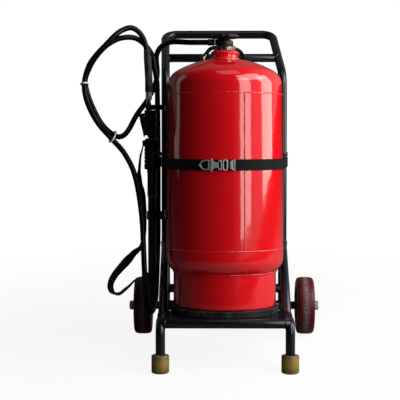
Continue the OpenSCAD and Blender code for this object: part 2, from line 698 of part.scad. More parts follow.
// Cast hub: boss, dished web and rim, turned about the axle
module wheel_hub(side) {
    boss_r = axle_r + 11;
    mid = track_w / 2;
    rim_half = tyre_w / 2 - 6;
    color([0.32, 0.06, 0.06]) on_axle(side) rotate_extrude()
        polygon([[axle_r + running_gap, hub_inner_x], [boss_r - 2, hub_inner_x], [boss_r, hub_inner_x + 2],
            [boss_r + 1, mid - 6], [hub_r - 8, mid - 5], [hub_r - 5, mid - rim_half], [hub_r, mid - rim_half],
            [hub_r, mid + rim_half], [hub_r - 5, mid + rim_half], [hub_r - 8, mid + 5], [boss_r + 1, mid + 6],
            [boss_r, hub_outer_x - 2], [boss_r - 2, hub_outer_x], [axle_r + running_gap, hub_outer_x]]);
}
module wheel_hub_left() { wheel_hub(-1); }
module wheel_hub_right() { wheel_hub(1); }
module tyre(side) {
    mid = track_w / 2;
    half = tyre_w / 2;
    shoulder_r = 9;
    color([0.25, 0.05, 0.06]) on_axle(side) rotate_extrude($fn = 96)
        polygon(concat(
            [[hub_r + running_gap, mid - half + 3], [hub_r + 4, mid - half]],
            backwards(arc([wheel_r - 1 - shoulder_r, mid - half + shoulder_r], shoulder_r, 0, -90, 5)),
            [[wheel_r, mid - 6], [wheel_r, mid + 6]],
            backwards(arc([wheel_r - 1 - shoulder_r, mid + half - shoulder_r], shoulder_r, 90, 0, 5)),
            [[hub_r + 4, mid + half], [hub_r + running_gap, mid + half - 3]]));
}
module tyre_left() { tyre(-1); }
module tyre_right() { tyre(1); }
module axle_washers() {
    for (side = [-1, 1]) color("silver") on_axle(side) difference() {
        translate([0, 0, hub_outer_x + seat_gap]) cylinder(h = washer_t, r = axle_r + 7);
        cylinder(h = track_w, r = axle_r + running_gap);
    }
}
module axle_nuts() {
    for (side = [-1, 1]) color([0.5, 0.52, 0.48]) on_axle(side) difference() {
        translate([0, 0, hub_outer_x + seat_gap + washer_t]) cylinder(h = nut_h, r = axle_r * 1.55, $fn = 6);
        cylinder(h = track_w, r = axle_r + running_gap);
    }
}

// ---------- strap and buckle ----------

strap_gap = seat_gap + strap_w / 2 * sin(strap_tilt);
strap_r = shell_r_at(strap_z - strap_w) + strap_gap + strap_t / 2;
wrap_r = tube_r + strap_gap + strap_t / 2;
strap_angle = atan2(upright_y, side_x) - acos((strap_r - wrap_r) / norm([side_x, upright_y]));
module tilted() { translate([0, 0, strap_z]) rotate([strap_tilt, 0, 0]) children(); }
function mirrored(points) = [for (p = points) [-p.x, p.y]];
module tank_strap() {
    right = concat(
        arc([0, 0], strap_r, -90, strap_angle, 24),
        arc([side_x, upright_y], wrap_r, strap_angle, 200, 14));
    left = backwards(mirrored(right));
    color([0.05, 0.07, 0.08]) tilted()
        band(concat(left, [for (i = [1 : len(right) - 1]) right[i]]), strap_t, strap_w);
}
// Collars that keep the strap from riding up the uprights
module strap_stops() {
    base = strap_z + upright_y * sin(strap_tilt) + strap_w / 2 + 1.5;
    for (side = [-1, 1]) color([0.07, 0.08, 0.1]) translate([side * side_x, upright_y, base])
        difference() {
            cylinder(h = 11, r = tube_r + 2.6);
            translate([0, 0, -1]) cylinder(h = 13, r = tube_r + weld_gap);
        }
}
// Puts a flat piece, drawn in XY with Y up, on the strap at an angle from the front
module on_strap(angle) {
    tilted() rotate([0, 0, angle]) translate([0, -strap_r - strap_t / 2 - seat_gap, 0])
        rotate([90, 0, 0]) children();
}
module buckle_loop() {
    color("lightgray") on_strap(-19.5) linear_extrude(3.2) difference() {
        polygon([[-15, 0], [-7, 11], [2, 12.5], [11, 12.5], [12.5, 10], [12.5, -10], [11, -12.5],
            [2, -12.5], [-7, -11]]);
        polygon([[-10.5, 0], [-5, 7.8], [2, 9.3], [9.2, 9.3], [9.2, -9.3], [2, -9.3], [-5, -7.8]]);
    }
}
module buckle_tongue() {
    color("silver") on_strap(-8.2) linear_extrude(4) difference() {
        polygon([[-14.5, 15], [-10.5, 15.5], [-9, 10.5], [-3, 6.5], [4, 6.5], [6, 12], [13.4, 12],
            [13.4, -12], [6, -12], [4, -6.5], [-3, -6.5], [-9, -10.5], [-10.5, -15.5], [-14.5, -15]]);
        translate([8, 0]) square([5, 16], center = true);
    }
}
module strap_ring() {
    color("lightgray") on_strap(-0.2) linear_extrude(3.5) difference() {
        union() {
            square([13, 15], center = true);
            for (y = [-7.5, 7.5]) translate([0, y]) circle(r = 6.5);
        }
        square([6.4, 15], center = true);
        for (y = [-7.5, 7.5]) translate([0, y]) circle(r = 3.2);
    }
}
module strap_plate() {
    color("silver") on_strap(6.5) linear_extrude(3) difference() {
        polygon([[-6.3, 9], [6.3, 14], [6.3, -14], [-6.3, -9]]);
        translate([2.5, 0]) square([3, 21], center = true);
    }
}

// ---------- gun ----------

module turned(x, points) { translate([x, gun_y, 0]) rotate_extrude() polygon(points); }
module gun_ferrule() {
    z = ferrule_top_z;
    color("gray") turned(inlet_x, [[3, z], [7.6, z], [8.4, z - 1], [8.4, z - 6], [7.9, z - 7],
        [8.4, z - 8], [8.4, z - 13], [7.9, z - 14], [8.4, z - 15], [8.4, z - ferrule_h + 1],
        [7.6, z - ferrule_h], [3, z - ferrule_h]]);
}
module gun_inlet() {
    z = ferrule_top_z - ferrule_h;
    color("tan") turned(inlet_x, [[2.5, z], [5.4, z], [5.4, z - 8], [6.4, z - 8.5], [6.4, z - 12],
        [5.4, z - 12.5], [5.4, z - inlet_h], [2.5, z - inlet_h]]);
}
module gun_collar() {
    color([0.08, 0.08, 0.09]) translate([(gun_x + inlet_x) / 2, gun_y, block_top_z])
        difference() {
            cylinder(h = collar_h, r = 15.6);
            translate([0, 0, -1]) cylinder(h = collar_h + 2, r = 3);
            for (a = [0 : 45 : 315]) rotate([0, 0, a]) translate([17.6, 0, -1])
                cylinder(h = collar_h + 2, r = 3);
        }
}
// Valve block with two cheeks that guard the trigger
module gun_block() {
    cheek = 3;
    color([0.09, 0.09, 0.1]) difference() {
        union() {
            turned(gun_x, [[0, block_top_z], [block_d / 2, block_top_z], [block_d / 2, grip_top_z + 4],
                [block_d / 2 - 4, grip_top_z], [0, grip_top_z]]);
            for (s = [-1, 1])
                translate([gun_x, gun_y + s * (trigger_t / 2 + seat_gap + cheek / 2) + cheek / 2, 0])
                    rotate([90, 0, 0]) linear_extrude(cheek)
                        polygon([[0, block_top_z], [-26, block_top_z], [-28, block_top_z - 12],
                            [-26, block_top_z - 28], [-21, block_top_z - 46], [-18, grip_top_z + 7],
                            [0, grip_top_z + 7]]);
        }
        translate([trigger_pivot.x, gun_y - 20, trigger_pivot.y]) rotate([-90, 0, 0])
            cylinder(h = 40, r = 2 + running_gap);
        translate([gun_x, gun_y, grip_top_z - 1]) cylinder(h = 80, r = 4);
    }
}
module gun_trigger() {
    inner = -block_d / 2 - 1.8;
    tip_z = grip_top_z + 3;
    color([0.1, 0.1, 0.11]) translate([gun_x, gun_y, 0]) rotate([90, 0, 0])
        linear_extrude(trigger_t, center = true) difference() {
            polygon([[inner - 1, block_top_z - 1.5], [-37, block_top_z - 0.5],
                [-38, block_top_z - 5], [-32, block_top_z - 10],
                [-31, block_top_z - 16], [-28.2, block_top_z - 30], [-23.8, block_top_z - 46],
                [-21.5, tip_z], [-18.6, tip_z + 0.5], [-18.2, tip_z + 10], [-16.2, block_top_z - 34],
                [-14.8, block_top_z - 18], [inner, block_top_z - 10]]);
            translate([trigger_pivot.x - gun_x, trigger_pivot.y]) circle(r = 2 + running_gap, $fn = 48);
        }
}
module trigger_pin() {
    reach = trigger_t / 2 + seat_gap + 4;
    color("silver") translate([trigger_pivot.x, gun_y - reach, trigger_pivot.y]) rotate([-90, 0, 0])
        cylinder(h = 2 * reach, r = 2, $fn = 48);
}
module gun_grip() {
    r = grip_d / 2;
    color([0.06, 0.06, 0.07]) turned(gun_x, concat(
        [[4, grip_top_z], [r - 5, grip_top_z], [r - 1, grip_top_z - 4]],
        [for (i = [0 : 5]) for (p = [[0, 0], [-1.2, -2], [-1.2, -4], [0, -6]])
            [r + p.x, grip_top_z - 12 - i * 10 + p.y]],
        [[r, grip_end_z + 3], [r - 2, grip_end_z], [4, grip_end_z]]));
}
module lance_ring() {
    color("silver") turned(gun_x, [[lance_r + 0.1, barrel_end_z], [lance_r + 2, barrel_end_z],
        [lance_r + 2, barrel_end_z - 3], [lance_r + 0.1, barrel_end_z - 3]]);
}
// Barrel and lance in one turned tube, open at its mouth
module lance() {
    color([0.07, 0.07, 0.08]) turned(gun_x, [[4, grip_end_z], [lance_r + 2.6, grip_end_z],
        [lance_r + 2.6, grip_end_z - 8], [lance_r + 1.6, grip_end_z - 10], [lance_r + 1.6, barrel_end_z + 1],
        [lance_r, barrel_end_z + seat_gap], [lance_r, lance_end_z + 1], [lance_r - 1, lance_end_z],
        [lance_r - 2.2, lance_end_z], [lance_r - 2.2, barrel_end_z], [4, barrel_end_z + 8]]);
}
// Bent flat bar from the left upright to an open clip round the gun
module bracket(x, r, z, h) {
    arm_x = -side_x - 1;
    bar = 4;
    color([0.12, 0.12, 0.13]) difference() {
        translate([0, 0, z]) linear_extrude(h) difference() {
            union() {
                translate([arm_x - bar / 2, gun_y]) square([bar, upright_y - gun_y]);
                translate([x, gun_y - bar / 2]) square([arm_x - x + bar / 2, bar]);
                translate([x, gun_y]) circle(r = r + seat_gap + 3);
            }
            translate([x, gun_y]) circle(r = r + seat_gap);
            translate([x, gun_y]) rotate(-90) polygon([[0, 0], [60, -26], [60, 26]]);
            translate([-side_x, upright_y]) circle(r = tube_r + weld_gap);
        }
    }
}
module bracket_upper() { bracket(inlet_x, 5.4, ferrule_top_z - ferrule_h - inlet_h + 1, inlet_h * 0.5); }
module bracket_lower() { bracket(gun_x, lance_r, 214, 22); }

// ---------- hose, sling and ties ----------

hose_path = smooth_path(concat(hose_route, sleeve_route), ring_step);
hose_rings = len(smooth_path(hose_route, ring_step));
module hose() {
    color([0.05, 0.05, 0.06]) flexible_tube(hose_path, hose_r, 0, hose_rings - 1);
}
module hose_sleeve() {
    color([0.1, 0.12, 0.15])
        flexible_tube(hose_path, sleeve_d / 2, hose_rings - 1, len(hose_path) - 1, 12);
}
module tie_outline(apart, r) {
    square([2 * r, apart], center = true);
    for (s = [-0.5, 0.5]) translate([0, s * apart]) circle(r = r);
}
// Band round two strands that lie side by side
module cable_tie(a, b, slack) {
    apart = norm(hose_route[a] - hose_route[b]);
    z = unit(heading(hose_route, a) * sign(heading(hose_route, a) * heading(hose_route, b))
        + heading(hose_route, b));
    y0 = hose_route[b] - hose_route[a];
    y = unit(y0 - (y0 * z) * z);
    x = cross(y, z);
    mid = (hose_route[a] + hose_route[b]) / 2;
    multmatrix([[x.x, y.x, z.x, mid.x], [x.y, y.y, z.y, mid.y], [x.z, y.z, z.z, mid.z]])
        linear_extrude(tie_w, center = true) difference() {
            tie_outline(apart, hose_r + slack + tie_t);
            tie_outline(apart, hose_r + slack);
        }
}
module cable_ties() {
    for (pair = tie_pairs) color("white") cable_tie(pair[0], pair[1], pair[2]);
}
module gun_sling() {
    centres = [for (s = sling_route) s[0]];
    color([0.04, 0.04, 0.05]) {
        skin([for (i = [0 : len(centres) - 1])
            let (t = heading(centres, i),
                edge = unit([0, 1, 0] - t.y * t),
                flat = cross(t, edge),
                w = (cos(sling_route[i][1]) * edge + sin(sling_route[i][1]) * flat) * sling_w / 2,
                n = cross(t, unit(w)) * sling_t / 2)
            [centres[i] + w + n, centres[i] - w + n, centres[i] - w - n, centres[i] + w - n]]);
        turned(gun_x, [[grip_d / 2 + 0.4, 404], [grip_d / 2 + 2.2, 404], [grip_d / 2 + 2.2, 419],
            [grip_d / 2 + 0.4, 419]]);
        turned(gun_x, [[lance_r + 0.4, 54], [lance_r + 2.2, 54], [lance_r + 2.2, 76],
            [lance_r + 0.4, 76]]);
    }
}

// ---------- assembly ----------

stood() tank_shell();
stood() neck_collar();
stood() tank_skirt();
stood() base_boot();
stood() dip_tube();
stood() ring_nut();
stood() valve_body();
stood() valve_spindle();
stood() handwheel();
stood() outlet_elbow();
stood() shoulder_union_left();
stood() shoulder_union_right();
stood() shoulder_loop();
stood() upright_left();
stood() upright_right();
stood() handle_bar();
stood() handle_crossbar();
stood() leg_left();
stood() leg_right();
stood() brace_left();
stood() brace_right();
stood() front_crossbar();
stood() back_crossbar();
stood() base_rails();
stood() saddle_upper();
stood() saddle_lower();
stood() axle_sleeve();
foot_left();
foot_right();
stood() axle_rod();
stood() axle_bushes();
stood() wheel_hub_left();
stood() wheel_hub_right();
stood() tyre_left();
stood() tyre_right();
stood() axle_washers();
stood() axle_nuts();
stood() tank_strap();
stood() strap_stops();
stood() buckle_loop();
stood() buckle_tongue();
stood() strap_ring();
stood() strap_plate();
stood() gun_ferrule();
stood() gun_inlet();
stood() gun_collar();
stood() gun_block();
stood() gun_grip();
stood() gun_trigger();
stood() trigger_pin();
stood() lance_ring();
stood() lance();
stood() bracket_upper();
stood() bracket_lower();
stood() hose();
stood() hose_sleeve();
stood() cable_ties();
stood() gun_sling();
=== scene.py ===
"""Dresses a wheeled dry-powder fire extinguisher on its tubular steel trolley.

Lengths in the build are millimetres in the cylinder's own frame: Z is the cylinder's axis,
Z = 0 the lower edge of its skirt and -Y the front. stood() takes such a point to the floor's
frame, in metres, where the cylinder leans back against its trolley.
"""

import json
import math

import bmesh
import bpy
from mathutils import Matrix, Vector


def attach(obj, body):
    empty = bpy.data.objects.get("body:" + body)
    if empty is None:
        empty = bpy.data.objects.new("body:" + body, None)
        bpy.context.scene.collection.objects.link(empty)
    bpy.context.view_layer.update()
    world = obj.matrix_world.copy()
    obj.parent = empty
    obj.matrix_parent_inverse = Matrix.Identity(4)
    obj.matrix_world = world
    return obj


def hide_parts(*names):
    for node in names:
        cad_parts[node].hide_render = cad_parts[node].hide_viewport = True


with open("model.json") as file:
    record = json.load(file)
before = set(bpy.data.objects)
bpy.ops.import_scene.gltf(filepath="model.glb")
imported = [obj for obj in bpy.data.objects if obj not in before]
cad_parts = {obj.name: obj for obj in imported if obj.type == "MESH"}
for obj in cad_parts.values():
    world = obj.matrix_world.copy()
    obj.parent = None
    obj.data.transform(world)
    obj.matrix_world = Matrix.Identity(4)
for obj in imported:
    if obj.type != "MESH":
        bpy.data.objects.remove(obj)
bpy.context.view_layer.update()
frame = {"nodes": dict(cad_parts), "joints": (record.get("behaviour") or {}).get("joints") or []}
NODES = frame["nodes"]

bl_info = {
    "name": "Wheeled Fire Extinguisher",
    "version": (1, 0, 0),
    "blender": (4, 5, 0),
    "location": "View3D > Sidebar > Extinguisher",
    "description": "Builds the finished pieces of a wheeled fire extinguisher over its CAD frame",
    "category": "Add Mesh",
}

# ---------- sizes shared with the CAD solids, in millimetres ----------

TUBE_R, SIDE_X = 11.5, 157
SIDES = ((-1, "left"), (1, "right"))
LEG_Y, UPRIGHT_Y, AXLE_Z, SOLE_Z = 150, 185, -24, -143
HANDLE_BEND_Z, HANDLE_ANGLE, HANDLE_REACH, HANDLE_CORNER_R = 596, 58, 244, 32
UPRIGHT_BEND_R, LEG_BEND_R, CROSSBAR_REACH = 60, 28, 99
# How far the handle's left and right arms slant inwards
SLANT = {-1: math.radians(3.2 - 1.05), 1: math.radians(3.2 + 1.05)}
BACK_BAR_Z = 22
BRACE_FOOT_Y, BRACE_TOP_Z = -23, 147
SHELL_LOW_R, SHELL_HIGH_R, SHELL_LOW_Z, SHELL_HIGH_Z = 148.5, 144.5, 125, 554
# The long seam's angle is in degrees from the right; the front is at -90
CROWN_R, KNUCKLE_R, SEAM_INSET, SEAM_ANGLE = 250, 45, 22, -90 + 18.7
CROWN_Z = SHELL_HIGH_Z - math.sqrt((CROWN_R - KNUCKLE_R) ** 2 - (SHELL_HIGH_R - KNUCKLE_R) ** 2)
POLE_Z = CROWN_Z + CROWN_R
NECK_Z, COLLAR_R = POLE_Z + 18, 35.5
VALVE_Z = NECK_Z + 13.5
HANDWHEEL_Z = VALVE_Z + 17
HANDWHEEL_R, HANDWHEEL_T = 37, 14
BOOT_R, BOOT_H, SKIRT_R = 137, 15.5, 130
STRAP_Z, STRAP_TILT, STRAP_W, STRAP_T = 360, 1.2, 27, 2.2
GUN_X, GUN_Y, INLET_X, FERRULE_Z = -188, 70, -196, 544
LANCE_R, GRIP_R, LANCE_LOOP, GRIP_LOOP = 10.5, 20, (54, 76), (404, 419)
SLING_W, SLING_T, SLING_STEP = 25, 2, 4
HOSE_R, SLEEVE_R, TIE_T = 7, 10, 1.3
WHEEL_R, TYRE_W, TRACK_W, HUB_R = 76.5, 46, 435, 50

# Centres of the hose, from the valve's outlet to its bend protector, and from there to the ferrule
HOSE_ROUTE = [
    (-43, 0, 665), (-87, 0, 665), (-142, 35, 668), (-176, 98, 645), (-178, 131, 585),
    (-199, 122, 532), (-229, 103, 487), (-258, 73, 435), (-282, 44, 431), (-320, 25, 470),
    (-357.5, 42, 563), (-347, 47, 605), (-325, 54, 641), (-297, 62, 668.5), (-264, 72, 684),
    (-226, 86, 682), (-192, 96, 648), (-183, 100, 609), (-176, 107, 562), (-174.5, 115, 190),
    (-177.5, 105, 65), (-181, 88, -2), (-189, 32, -22), (-199, -10, 8), (-203, -25, 104),
    (-212, 17, 229), (-230.5, 23, 333), (-258, 26, 388), (-291, 29, 425), (-323, 10, 464),
    (-350, 20, 516), (-358, 27, 563), (-346, 28, 609), (-327.5, 27, 635.5), (-301, 27, 663.5),
    (-280, 34, 686), (-262, 50, 701.5), (-238, 66, 708.5), (-215, 77, 691), (-202, 78, 654),
]
SLEEVE_ROUTE = [(-198, 74, 611), (INLET_X, GUN_Y, 575), (INLET_X, GUN_Y, FERRULE_Z)]
# Points of the hose where a tie holds two strands, and the tie's slack there
TIE_PAIRS = [(8, 28, 2.4), (10, 31, 0.8)]
# Centres of the sling and how far its webbing turns there from edge-on to flat-on, in degrees
SLING_ROUTE = [
    ((-210.2, 50, 419), 0), ((-210.2, 50, 404), 0), ((-216, 46, 379), 5), ((-219, 44, 345), 10),
    ((-221, 43, 310), 46), ((-213, 42, 284), 38), ((-208, 41, 251), 27), ((-207, 39, 213), 25),
    ((-207, 37, 180), 20), ((-214, 35, 147), 21), ((-232, 33, 130), 38), ((-251, 32, 109), 60),
    ((-269, 31, 89), 50), ((-284, 30, 70), 42), ((-293, 30, 49), 34), ((-291, 30, 34), 27),
    ((-282, 30, 26), 5), ((-270, 31, 25), 12), ((-258, 33, 34), 14), ((-245, 37, 45), 10),
    ((-233, 43, 57), 5), ((-220, 52, 64), 0), ((-201.2, 62, 65), 0),
]
UNION_LEFT, UNION_RIGHT, UNION_H = (54, 180, 48), (100, 61, 30), 12.5
# The eye, in mm and degrees: its height, its distance, its turn to the left, and the line of sight
EYE_Z, EYE_DISTANCE, EYE_TURN = 377, 2920, 0.6
SIGHT_AHEAD, SIGHT_LEFT, SIGHT_DOWN = 1152, 24.75, 43.3
FOCAL_PX, FRAME_PX, SENSOR_MM = 1153.1, 400, 36
# Name, azimuth in degrees, distance, height, height that it is aimed at, width, height of the
# panel, watts, tint, whether it shows in reflections and whether it lights matt surfaces
LAMPS = [
    ("key_front", 38.5, 2.4, 1.35, 0.6, 0.95, 1.9, 22, (1.0, 1.0, 1.0), True, True),
    ("key_side", 88, 2.2, 1.3, 0.6, 1.2, 1.9, 35, (1.0, 0.95, 0.9), True, True),
    ("soft_fill", 68, 2.4, 1.2, 0.6, 1.6, 1.9, 25, (1.0, 1.0, 1.0), False, True),
    ("high_bank", 62, 1.9, 2.3, 0.7, 2.2, 1.3, 34, (1.0, 0.96, 0.95), True, True),
    ("overhead", 21.8014, 0.538516, 2.9, 0.6, 1.2, 1.2, 4, (0.86, 0.93, 1.0), True, True),
    ("rim_left", -106, 2.2, 1.2, 0.6, 0.7, 1.7, 2.0, (1.0, 0.93, 0.95), True, False),
]


def stance():
    """The lean of the cylinder and its place on the floor, from the handwheel's own joint."""
    joint = next(j for j in frame["joints"] if j["name"] == "handwheel_turn")
    lean = math.atan2(joint["axis"][1], joint["axis"][2])
    foot = Vector(joint["pos_m"]) - Vector((0, math.sin(lean), math.cos(lean))) * HANDWHEEL_Z / 1000
    return Matrix.Translation(foot) @ Matrix.Rotation(-lean, 4, "X") @ Matrix.Scale(0.001, 4)


STAND = stance()


def stood(point):
    """A point in mm on the cylinder's frame, in metres on the floor's frame."""
    return STAND @ Vector(point)


# ---------- properties ----------


def linear(code):
    """The linear colour of an sRGB hex value."""
    parts = [int(code[i : i + 2], 16) / 255 for i in (0, 2, 4)]
    return [c / 12.92 if c <= 0.04045 else ((c + 0.055) / 1.055) ** 2.4 for c in parts]


def length(name, text, default):
    return bpy.props.FloatProperty(name=name, description=text, default=default, unit="LENGTH")


def colour(name, text, code):
    return bpy.props.FloatVectorProperty(
        name=name, description=text, default=linear(code), size=3, subtype="COLOR", min=0, max=1)


class ExtinguisherSizes(bpy.types.PropertyGroup):
    bead_radius: length("Weld Bead Radius", "Radius of the frame's weld beads", 0.0021)
    bead_pitch: length("Weld Ripple Pitch", "Distance between two ripples of a weld bead", 0.0034)
    seam_radius: length("Seam Radius", "Radius of the cylinder's weld seams", 0.0026)
    boot_ribs: bpy.props.IntProperty(
        name="Boot Ribs", description="Number of upright ribs round the rubber boot", default=200)
    rib_radius: length("Rib Radius", "Radius of one rib of the boot", 0.0013)
    edge: length("Edge Round", "Width of the rounded edges of machined and moulded parts", 0.0004)
    hose_step: length("Hose Step", "Distance between two rings of the hose's mesh", 0.006)
    thread_pitch: length(
        "Webbing Thread Pitch", "Distance between two ribs of the webbing's weave", 0.0016)
    stitch_length: length("Stitch Length", "Length of one stitch in the webbing", 0.003)


class ExtinguisherColours(bpy.types.PropertyGroup):
    enamel: colour("Cylinder Red", "Colour of the cylinder's enamel", "D8121B")
    frame: colour("Frame Black", "Colour of the trolley's powder coat", "0B1119")
    moulding: colour("Moulding Black", "Colour of the valve's and gun's mouldings", "06080A")
    rubber: colour("Rubber Black", "Colour of the hose and the boot", "060709")
    tyre: colour("Tyre Maroon", "Colour of the solid rubber tyres", "56101A")
    hub: colour("Hub Maroon", "Colour of the cast hubs", "36090D")
    foot: colour("Foot Amber", "Colour of the gum-rubber feet", "A08233")
    webbing: colour("Webbing Black", "Colour of the strap and the sling", "07090B")
    nickel: colour("Nickel", "Colour of the plated ring nut", "93866E")
    zinc: colour("Zinc", "Colour of the axle, nuts and buckle", "C2C4C2")
    brass: colour("Brass", "Colour of the hose unions", "B8954F")
    tie: colour("Tie White", "Colour of the nylon ties", "E6E4DC")
    floor: colour("Floor", "Colour of the studio floor", "F2F2F2")


# ---------- node trees and materials ----------


def add(tree, kind, inputs=None, **settings):
    """A node with its settings. An input takes a value, or a socket or node to link to it."""
    node = tree.nodes.new(kind)
    for key, value in settings.items():
        setattr(node, key, value)
    for key, value in (inputs or {}).items():
        if isinstance(value, bpy.types.Node):
            value = next(output for output in value.outputs if output.enabled)
        if isinstance(value, bpy.types.NodeSocket):
            tree.links.new(value, node.inputs[key])
        else:
            node.inputs[key].default_value = value
    return node


def shade(values, factor=1.0):
    """A colour with its alpha, made darker or lighter by a factor."""
    return (*[min(1.0, c * factor) for c in values], 1.0)


class Finish:
    """A material under way: its tree, its shader and the coordinates that its patterns read."""

    def __init__(self, name, coordinates="Object"):
        self.material = bpy.data.materials.new(name)
        self.material.use_nodes = True
        self.tree = self.material.node_tree
        self.shader = self.tree.nodes["Principled BSDF"]
        self.place = add(self.tree, "ShaderNodeTexCoord").outputs[coordinates]

    def patches(self, size_mm, detail=3.0, roughness=0.55, low=0.0, high=1.0):
        """Soft-edged patches about size_mm across: noise, none below low and full above high."""
        noise = add(self.tree, "ShaderNodeTexNoise", {
            "Vector": self.place, "Scale": 1000 / size_mm, "Detail": detail,
            "Roughness": roughness})
        return add(self.tree, "ShaderNodeMapRange", {
            "Value": noise, "From Min": low, "From Max": high})

    def coated(self, body, *coats):
        """A colour with coats over it, each of them (mask, colour)."""
        for mask, coat in coats:
            body = add(self.tree, "ShaderNodeMix", {0: mask, 6: body, 7: coat}, data_type="RGBA")
        return body

    def relief(self, *layers):
        """A normal from layers laid on one another, each of them (height, depth in mm)."""
        below = {}
        for height, depth in layers:
            below["Normal"] = add(self.tree, "ShaderNodeBump", {
                "Height": height, "Distance": depth / 1000, "Strength": 1.0, **below})
        return below["Normal"]

    def done(self, body, rough, normal, constants):
        """Links the shader; rough is (mask, level outside it, level in it), or a node."""
        if isinstance(rough, tuple):
            rough = add(self.tree, "ShaderNodeMapRange", {
                "Value": rough[0], "To Min": rough[1], "To Max": rough[2]})
        inputs = self.shader.inputs
        for key, node in (("Base Color", body), ("Roughness", rough), ("Normal", normal)):
            self.tree.links.new(next(o for o in node.outputs if o.enabled), inputs[key])
        for key, value in constants.items():
            inputs[key].default_value = value
        return self.material


# Finishes of two tones. Each row has the name; both tones, as a colour's name and a factor, or as
# a hex value; the patches of the second tone; the roughness outside and inside them, or by patches
# of its own; the relief, in layers of (size in mm, detail, depth in mm); the shader's constants.
# Patches are (size in mm, detail, roughness, none below, full above).
TWO_TONES = {
    # Black polyester powder coat on steel tube: half gloss, with a fine pebbled skin and dull rubs
    "frame_paint": (
        "Polyester powder coat, baked", ("frame", 1), ("frame", 2.2), (24, 6, 0.7, 0.55, 0.75),
        (0.16, 0.28), (18, 5, 0.55, 0.3, 0.7), [(14, 2, 0.05), (1.6, 2, 0.012)], {"IOR": 1.48}),
    # Glass-filled nylon, injection moulded: satin black with a fine spark-eroded grain
    "black_plastic": (
        "Glass-filled nylon, moulded", ("moulding", 1), ("moulding", 1.9), (9, 4, 0.55, 0.4, 0.7),
        (0.38, 0.52), (6, 3, 0.55, 0.3, 0.7), [(0.9, 2, 0.03)],
        {"IOR": 1.53, "Specular IOR Level": 0.35}),
    # Nitrile rubber, pressed: matt black, dusted pale in places where it rubs on the rails; the
    # dust's pale grey-green is partly a painted highlight, standing in for the lit ribs of the boot
    "rubber": (
        "Nitrile rubber, pressed", ("rubber", 1), "3C4441", (16, 6, 0.7, 0.42, 0.7),
        (0.5, 0.75), None, [(0.8, 3, 0.04)], {"IOR": 1.5, "Specular IOR Level": 0.35}),
    # Cast iron, brush-painted maroon: a satin skin over the sand casting's grain
    "hub_paint": (
        "Cast iron, brush painted", ("hub", 1), ("hub", 0.5), (14, 5, 0.55, 0.4, 0.7),
        (0.3, 0.5), (9, 4, 0.55, 0.3, 0.7), [(1.8, 4, 0.12)], {"IOR": 1.5}),
    # Nickel plate on turned brass, gone tan: a soft metal gleam with dull spots of tarnish
    "nickel": (
        "Nickel plate, tarnished", ("nickel", 1), "5E523D", (4, 6, 0.7, 0.45, 0.65),
        (0.24, 0.5), None, [(1.2, 3, 0.02)], {"Metallic": 1.0}),
    # Zinc plate, electroplated on steel: a cloudy grey gleam, dull where it has been handled
    "zinc": (
        "Zinc plate, electroplated", ("zinc", 1), ("zinc", 0.62), (5, 5, 0.7, 0.35, 0.7),
        (0.36, 0.6), None, [(0.8, 3, 0.015)], {"Metallic": 0.6}),
    # Brass, turned and left bare: a warm gleam with fine rings and brown tarnish in its hollows
    "brass": (
        "Brass, turned", ("brass", 1), "5A4526", (5, 5, 0.7, 0.5, 0.75),
        (0.2, 0.45), None, [(1.0, 2, 0.012)], {"Metallic": 1.0}),
    # Brass, oil-blackened: a dark brown skin with the metal's gleam worn through at its edges
    "black_brass": (
        "Brass, oil-blackened", "0D0F12", "3A3226", (4, 5, 0.7, 0.6, 0.75),
        (0.3, 0.45), None, [(1.0, 2, 0.012)], {"IOR": 1.5}),
    # Natural nylon 6.6, moulded: milky white, waxy, and lit from inside at its edges
    "nylon": (
        "Natural nylon, moulded", ("tie", 1), ("tie", 0.8), (3, 3, 0.55, 0.0, 1.0),
        (0.3, 0.45), (2, 3, 0.55, 0.3, 0.7), [(0.7, 2, 0.02)],
        {"IOR": 1.53, "Subsurface Weight": 0.3, "Subsurface Scale": 0.002}),
}


def two_tone(colours, name, first, second, tone_patches, levels, own, relief, constants):
    f = Finish(name)
    tones = [shade(linear(tone)) if isinstance(tone, str)
             else shade(getattr(colours, tone[0]), tone[1]) for tone in (first, second)]
    tone_mask = f.patches(*tone_patches)
    normal = f.relief(*[(f.patches(size, detail), depth) for size, detail, depth in relief])
    rough = (f.patches(*own) if own else tone_mask, *levels)
    return f.done(f.coated(tones[0], (tone_mask, tones[1])), rough, normal, constants)


def red_enamel(c):
    # Baked polyester enamel, sprayed on welded steel: a wet gloss over a faint orange peel,
    # with the long waves of rolled plate, so that reflections of lamps have wavering edges.
    f = Finish("Baked polyester enamel, sprayed")
    scuffed = add(f.tree, "ShaderNodeMath", {
        0: f.patches(7, 6, 0.75, 0.66, 0.72), 1: f.patches(90, 3, 0.55, 0.5, 0.68)},
        operation="MULTIPLY")
    dust = add(f.tree, "ShaderNodeMath", {0: scuffed, 1: 0.35}, operation="MULTIPLY")
    body = f.coated(shade(c.enamel, 0.94), (f.patches(160, 2, 0.55, 0.3, 0.7), shade(c.enamel)),
                    (dust, shade(linear("E08A84"))))
    gloss = add(f.tree, "ShaderNodeMapRange", {
        "Value": f.patches(30, 4, 0.55, 0.3, 0.7), "To Min": 0.07, "To Max": 0.13})
    rough = add(f.tree, "ShaderNodeMath", {0: scuffed, 1: 0.2, 2: gloss}, operation="MULTIPLY_ADD")
    normal = f.relief(
        (f.patches(55, 1), 0.32), (f.patches(17, 2), 0.05), (f.patches(3.5, 2), 0.016))
    f.tree.links.new(normal.outputs[0], f.shader.inputs["Coat Normal"])
    return f.done(body, rough, normal, {"IOR": 1.5, "Coat Weight": 0.55, "Coat Roughness": 0.04})


